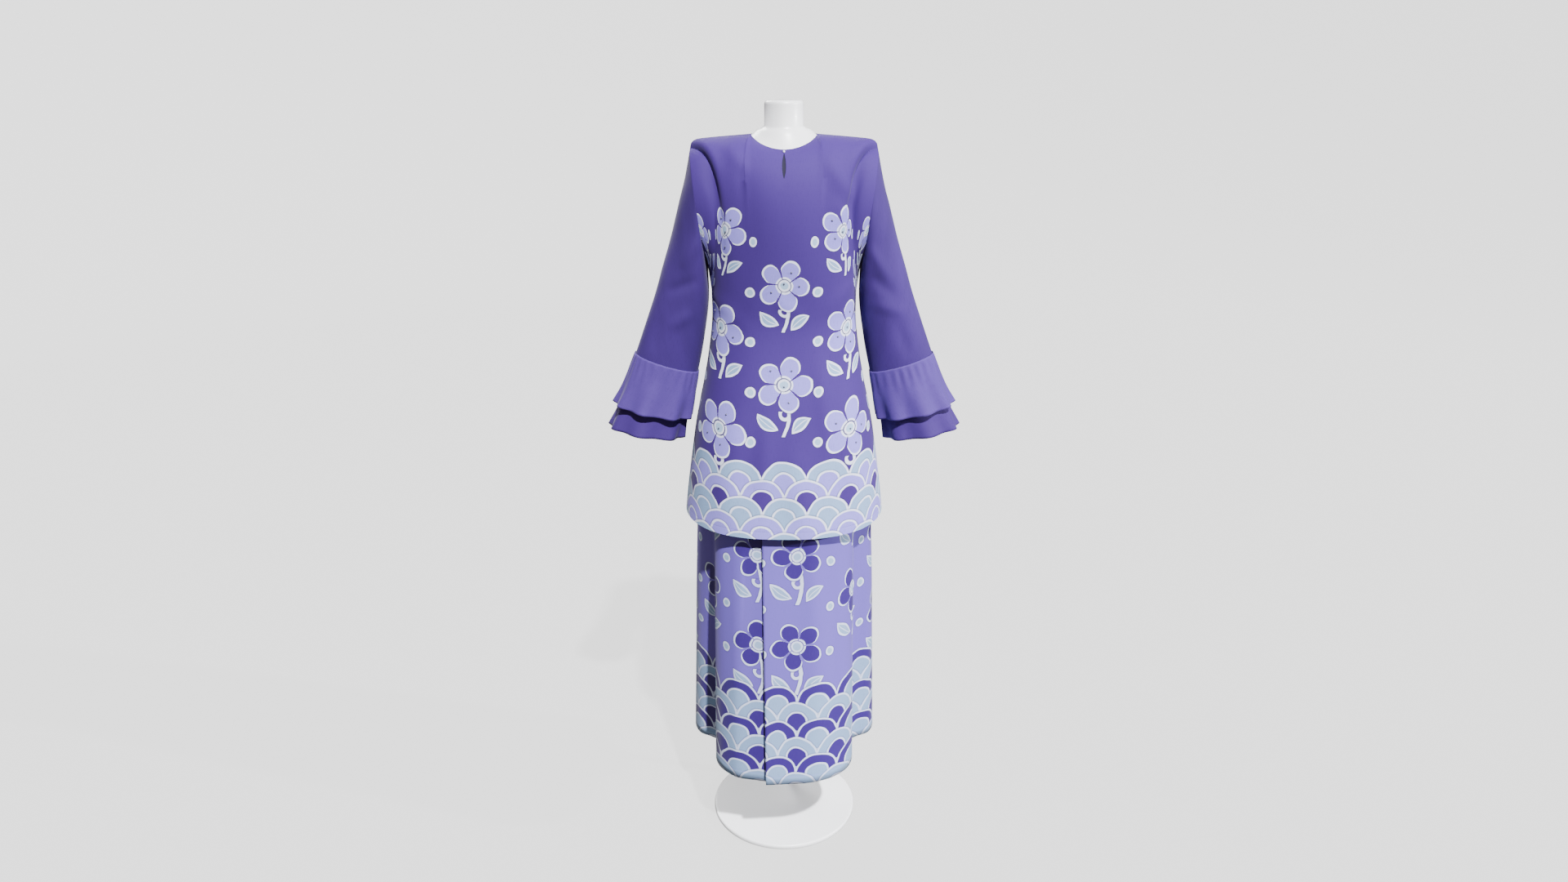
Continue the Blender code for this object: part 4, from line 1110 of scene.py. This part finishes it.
LAVENDER = {"ground": srgb(108, 91, 184), "deep": srgb(97, 81, 172), "edge": srgb(50, 36, 112),
            "wax": srgb(196, 206, 232), "petal": srgb(56, 34, 116), "heart": srgb(146, 172, 206),
            "leaf": srgb(134, 160, 198), "stem": srgb(70, 50, 134), "pale": srgb(132, 160, 198)}
SKIRT_REPEAT = Repeat(0.150, 0.205, 0.270, 0.900, 0.056, 0.85)
SKIRT_TIERS = [Tier(0.190 - 0.042 * i, 0.046, i % 2, ("petal", "pale")[i % 2], ("pale", "petal")[i % 2])
               for i in range(6)]
skirt_print = wax_print("skirt_print", SKIRT_REPEAT, SKIRT_TIERS, LAVENDER)
skirt_cloth = cloth_material("skirt_cloth", LAVENDER["ground"], LAVENDER["deep"], skirt_print,
                             hem=0.018, roughness=0.46, sheen=0.10, slub=0.45)
SKIRT_COLUMNS, SKIRT_ROWS, HELD_COLUMNS = 300, 64, 14
FREE_START, FREE_FULL = 0.10, 0.40


def make_skirt():
    angles = np.linspace(SKIRT_PLAN[0].angle, SKIRT_PLAN[-1].angle, SKIRT_COLUMNS)
    plan = [read_row(SKIRT_PLAN, angle) for angle in angles]
    grid = np.array([skirt_row(angles, plan, z) for z in np.linspace(SKIRT_HEM, SKIRT_TOP, SKIRT_ROWS)])
    place = arc_map(grid)
    place[..., 0] = -place[len(place) // 3, :, 0]
    free = smooth(SKIRT_TOP - grid[..., 2], FREE_START, FREE_FULL)
    columns = np.arange(SKIRT_COLUMNS)
    ends = smooth(np.minimum(columns, columns[::-1]), 0, HELD_COLUMNS)
    grid = creased(grid, SKIRT_CREASES, free * ends[None, :])
    return finish_piece(cloth("skirt_cloth", grid, skirt_cloth, place=place), "lavender_cloth", "skirt")


skirt = make_skirt()

# %% Waistband
BAND_HEIGHT, BAND_WALL, BAND_GAP, BAND_SIDES = 0.0320, 0.0020, 0.0003, 120
band_cloth = cloth_material("band_cloth", LAVENDER["ground"], LAVENDER["deep"], hem=0.003, slub=0.4)


def make_band():
    rows = []
    for height in np.linspace(SKIRT_TOP + BAND_GAP, SKIRT_TOP + BAND_GAP + BAND_HEIGHT, 7):
        oval = read_row(SKIRT_SECTIONS, height)
        rows.append([oval_point(360 * i / BAND_SIDES, *oval, height) for i in range(BAND_SIDES)])
    return finish_piece(cloth("waistband_cloth", np.array(rows), band_cloth, closed=True, wall=BAND_WALL),
                        "lavender_cloth", "skirt_waistband")


band = make_band()

# %% [markdown]
# The dress form is a smooth limbless body with a short neck, on a pole and a round base. Its shoulders are
# the tunic's own, moved in by the cloth and a little air, so the tunic rests on them.

# %% Dress form
FORM_SECTIONS = table(
    Section,
    (0.92, 0.15, 0.105, 0.113), (1.0, 0.164, 0.115, 0.118), (1.055, 0.164, 0.116, 0.113),
    (1.11, 0.158, 0.11, 0.106), (1.165, 0.15, 0.0995, 0.0965), (1.218, 0.1455, 0.0925, 0.0895),
    (1.25, 0.1459, 0.0915, 0.089), (1.28, 0.1462, 0.0925, 0.0895))
FORM_BOTTOM, FORM_CLEARANCE = 0.9300, 0.0009
FORM_SHOULDER_INSET, FORM_SHOULDER_DROP, FORM_ARMHOLE_NARROWING = 0.0140, 0.0040, 0.33
NECK_RADIUS, NECK_BASE, NECK_TOP, NECK_ROUND = 0.0395, 1.6262, 1.6780, 0.0080
NeckRing = namedtuple("NeckRing", "blend radius height bulge")
NECK_RINGS = table(
    NeckRing,
    (0.45, NECK_RADIUS, NECK_BASE, 0.25), (0.80, NECK_RADIUS, NECK_BASE, 0.12),
    (1.00, NECK_RADIUS, NECK_BASE + 0.003, 0.0), (1.00, NECK_RADIUS, NECK_TOP - NECK_ROUND, 0.0),
    (1.00, NECK_RADIUS - 0.10 * NECK_ROUND, NECK_TOP - 0.55 * NECK_ROUND, 0.0),
    (1.00, NECK_RADIUS - 0.35 * NECK_ROUND, NECK_TOP - 0.20 * NECK_ROUND, 0.0),
    (1.00, NECK_RADIUS - NECK_ROUND, NECK_TOP, 0.0))


def object_place(tree):
    return sums(tree, tree.nodes.new("ShaderNodeTexCoord"))["Object"]


def make_form_material():
    material, tree, shader = new_material("form_gloss", Coat_Weight=0.25)
    place = object_place(tree)
    dust = noise(place, 9.0, 4.0)
    colour = mix(tree, dust.step(0.45, 0.8) * 0.5, srgb(246, 247, 249), srgb(236, 237, 240))
    feed(tree, shader, Base_Color=colour, Roughness=dust * 0.12 + 0.26)
    add_bump(tree, shader, noise(place, 260.0, 2.0), 0.08, 0.0004)
    return material


form_gloss = make_form_material()


def form_edge(point):
    share = min(max((point.x - NECK_SIDE.x) / (UNDERARM.x - NECK_SIDE.x), 0.0), 1.0)
    return Vector((point.x - FORM_SHOULDER_INSET * share, point.y * (1 - FORM_ARMHOLE_NARROWING * share),
                   point.z - FORM_SHOULDER_DROP * share))


def fan_cap(bm, loop, point):
    hub = bm.verts.new(point)
    for i, vert in enumerate(loop):
        bm.faces.new((vert, loop[(i + 1) % len(loop)], hub))


def open_loops(bm):
    """The rings of open edges, each as an ordered list of points."""
    left = [edge for edge in bm.edges if edge.is_boundary]
    loops = []
    while left:
        edge = left.pop()
        loop = [edge.verts[0], edge.verts[1]]
        while True:
            onward = [e for e in loop[-1].link_edges if e in left]
            if not onward:
                break
            left.remove(onward[0])
            loop.append(onward[0].other_vert(loop[-1]))
        loops.append(loop[:-1] if loop[-1] is loop[0] else loop)
    return loops


def raise_neck(bm, loop):
    foot, ring = [vert.co.copy() for vert in loop], loop
    for blend, radius, height, bulge in NECK_RINGS:
        above = []
        for point in foot:
            around = math.atan2(point.y, point.x)
            stub = Vector((radius * math.cos(around), radius * math.sin(around), height))
            place = point.lerp(stub, blend)
            place.z += bulge * (stub.z - point.z)
            above.append(bm.verts.new(place))
        for i in range(len(ring)):
            j = (i + 1) % len(ring)
            bm.faces.new((ring[i], ring[j], above[j], above[i]))
        ring = above
    fan_cap(bm, ring, Vector((0, 0, NECK_TOP)))


def make_torso():
    bm = bmesh.new()
    for side in (-1, 1):
        grid = body_grid(FORM_SECTIONS, side, lambda along: FORM_BOTTOM, form_edge, (10, 22), (12, 5, 10))
        rows = [[bm.verts.new(point) for point in row] for row in grid]
        for lower, upper in zip(rows, rows[1:]):
            for i in range(len(lower) - 1):
                bm.faces.new((lower[i], lower[i + 1], upper[i + 1], upper[i]))
    bmesh.ops.remove_doubles(bm, verts=bm.verts[:], dist=1e-5)
    bmesh.ops.recalc_face_normals(bm, faces=bm.faces[:])
    bm.normal_update()
    for vert, normal in [(vert, vert.normal.copy()) for vert in bm.verts]:
        vert.co -= normal * (WALL + FORM_CLEARANCE)
        if vert.co.z < FORM_BOTTOM + 0.001:
            vert.co.z = FORM_BOTTOM
    for loop in open_loops(bm):
        middle = sum((vert.co for vert in loop), Vector()) / len(loop)
        if abs(middle.x) > 0.05:
            fan_cap(bm, loop, middle + Vector((math.copysign(0.004, middle.x), 0, 0)))
        elif middle.z < 1.2:
            fan_cap(bm, loop, middle)
        else:
            raise_neck(bm, loop)
    bmesh.ops.recalc_face_normals(bm, faces=bm.faces[:])
    piece = add_object("form_body", mesh_from("form_body", bm))
    piece.data.materials.append(form_gloss)
    select_only(piece)
    bpy.ops.object.shade_smooth_by_angle(angle=math.radians(60))
    print("form", len(piece.data.polygons), "faces")
    return finish_piece(piece, "form_white", "form_torso")


make_torso()

# %% Pole and base
POLE_RADIUS, POLE_BACK = 0.0110, 0.0870
BASE_RADIUS, BASE_HEIGHT, BASE_ROUND = 0.1730, 0.0120, 0.0045
TURNED_SIDES, ROUND_STEPS = 128, 5


def round_piece(name, radius, low, high, middle, bevel, node):
    """A turned solid: a cylinder of many sides, with its rims rounded."""
    bpy.ops.object.select_all(action="DESELECT")
    bpy.ops.mesh.primitive_cylinder_add(vertices=TURNED_SIDES, radius=radius, depth=high - low,
                                        location=(middle[0], middle[1], (high + low) / 2))
    piece = bpy.context.object
    piece.name = piece.data.name = name
    bpy.ops.object.transform_apply(location=True, rotation=True, scale=True)
    bpy.ops.object.mode_set(mode="EDIT")
    bpy.ops.mesh.select_all(action="DESELECT")
    bpy.ops.object.mode_set(mode="OBJECT")
    for edge in piece.data.edges:
        heights = [piece.data.vertices[i].co.z for i in edge.vertices]
        edge.select = abs(heights[0] - heights[1]) < 1e-6
    bpy.ops.object.mode_set(mode="EDIT")
    bpy.ops.mesh.bevel(offset=bevel, segments=ROUND_STEPS, affect="EDGES")
    bpy.ops.object.mode_set(mode="OBJECT")
    bpy.ops.object.shade_smooth_by_angle(angle=math.radians(35))
    piece.data.materials.append(form_gloss)
    return finish_piece(piece, "form_white", node)


POLE_GAP, POLE_ROUND = 0.0003, 0.0008
round_piece("form_pole_turned", POLE_RADIUS, BASE_HEIGHT + POLE_GAP, FORM_BOTTOM - POLE_GAP,
            (0, POLE_BACK), POLE_ROUND, "form_pole")
round_piece("form_base_turned", BASE_RADIUS, 0.0, BASE_HEIGHT, (0, 0), BASE_ROUND, "form_base")

# %% [markdown]
# Small things last: the pearl button that closes the neck, and the dark beads sewn to the motifs.

# %% Button and beads
BUTTON_RADIUS, BUTTON_FLATNESS = 0.0023, 0.8
BEAD_RADIUS, BEAD_FLATNESS, BEAD_LIFT = 0.0021, 0.7, 0.35


def glass_material(name, colour, roughness):
    material, tree, shader = new_material(name, Coat_Weight=0.6)
    tone = noise(object_place(tree), 420.0, 1.0)
    feed(tree, shader, Base_Color=mix(tree, tone, colour, toned(colour, 1.35)),
         Roughness=tone * 0.15 + roughness)
    return material


def small_balls(name, places, radius, flat, material):
    """One mesh of many small balls, each flattened along its own normal."""
    bm = bmesh.new()
    for point, normal in places:
        made = bmesh.ops.create_icosphere(bm, subdivisions=2, radius=radius)
        turn = Vector((0, 0, 1)).rotation_difference(normal)
        for vert in made["verts"]:
            local = Vector((vert.co.x, vert.co.y, vert.co.z * flat))
            vert.co = turn @ local + point
    mesh = mesh_from(name, bm)
    mesh.shade_smooth()
    mesh.materials.append(material)
    return add_object(name, mesh)


button_place = front_middle(SLIT_TOP + BUTTON_RADIUS, -BUTTON_RADIUS * BUTTON_FLATNESS)
pearl = glass_material("pearl", srgb(214, 212, 222), 0.25)
finish_piece(small_balls("pearl_button", [(button_place, Vector((0, -1, 0.3)).normalized())],
                         BUTTON_RADIUS, BUTTON_FLATNESS, pearl), "button_pearl", "neck_button")


def on_cloth(grid, place, across, up, lift):
    """The point of the panel where its flat cloth has this place, and the normal there."""
    away = (place[..., 0] - across) ** 2 + (place[..., 1] - up) ** 2
    row, column = np.unravel_index(np.argmin(away), away.shape)
    normal = Vector(face_normals(grid)[row, column])
    return Vector(grid[row, column]) + normal * lift, normal


bead_glass = glass_material("bead_glass", srgb(84, 84, 104), 0.2)
BEAD_PETALS, BEAD_AWAY, BEAD_SIDE = (0, 2, 3), 0.62, 0.16
bead_places = []
for column in (-1, 0, 1):
    for row in range(4):
        across, up = cell_middle(TUNIC_REPEAT, column, row)
        share = bloom_share(TUNIC_REPEAT, up - FLOWER_RISE)
        if not share or abs(across) > BEAD_SIDE:
            continue
        up += FLOWER_RISE * (share - 1)
        bead_places.append((across, up))
        away = BEAD_AWAY * TUNIC_REPEAT.bloom * share
        for petal in BEAD_PETALS:
            angle = math.radians(72 * petal) - (column * COLUMN_TURN + row * ROW_TURN)
            bead_places.append((across + away * math.cos(angle), up + away * math.sin(angle)))
bead_seats = [on_cloth(front_grid, front_place, *place, BEAD_RADIUS * BEAD_LIFT) for place in bead_places]
beads = small_balls("tunic_beads", bead_seats, BEAD_RADIUS, BEAD_FLATNESS, bead_glass)
finish_piece(beads, "button_pearl")
print("beads", len(bead_places))

# %% [markdown]
# The cut that each cloth prints is its length along its own surface.
# Last, the scene is brought up to date.

# %% Update
bpy.context.view_layer.update()
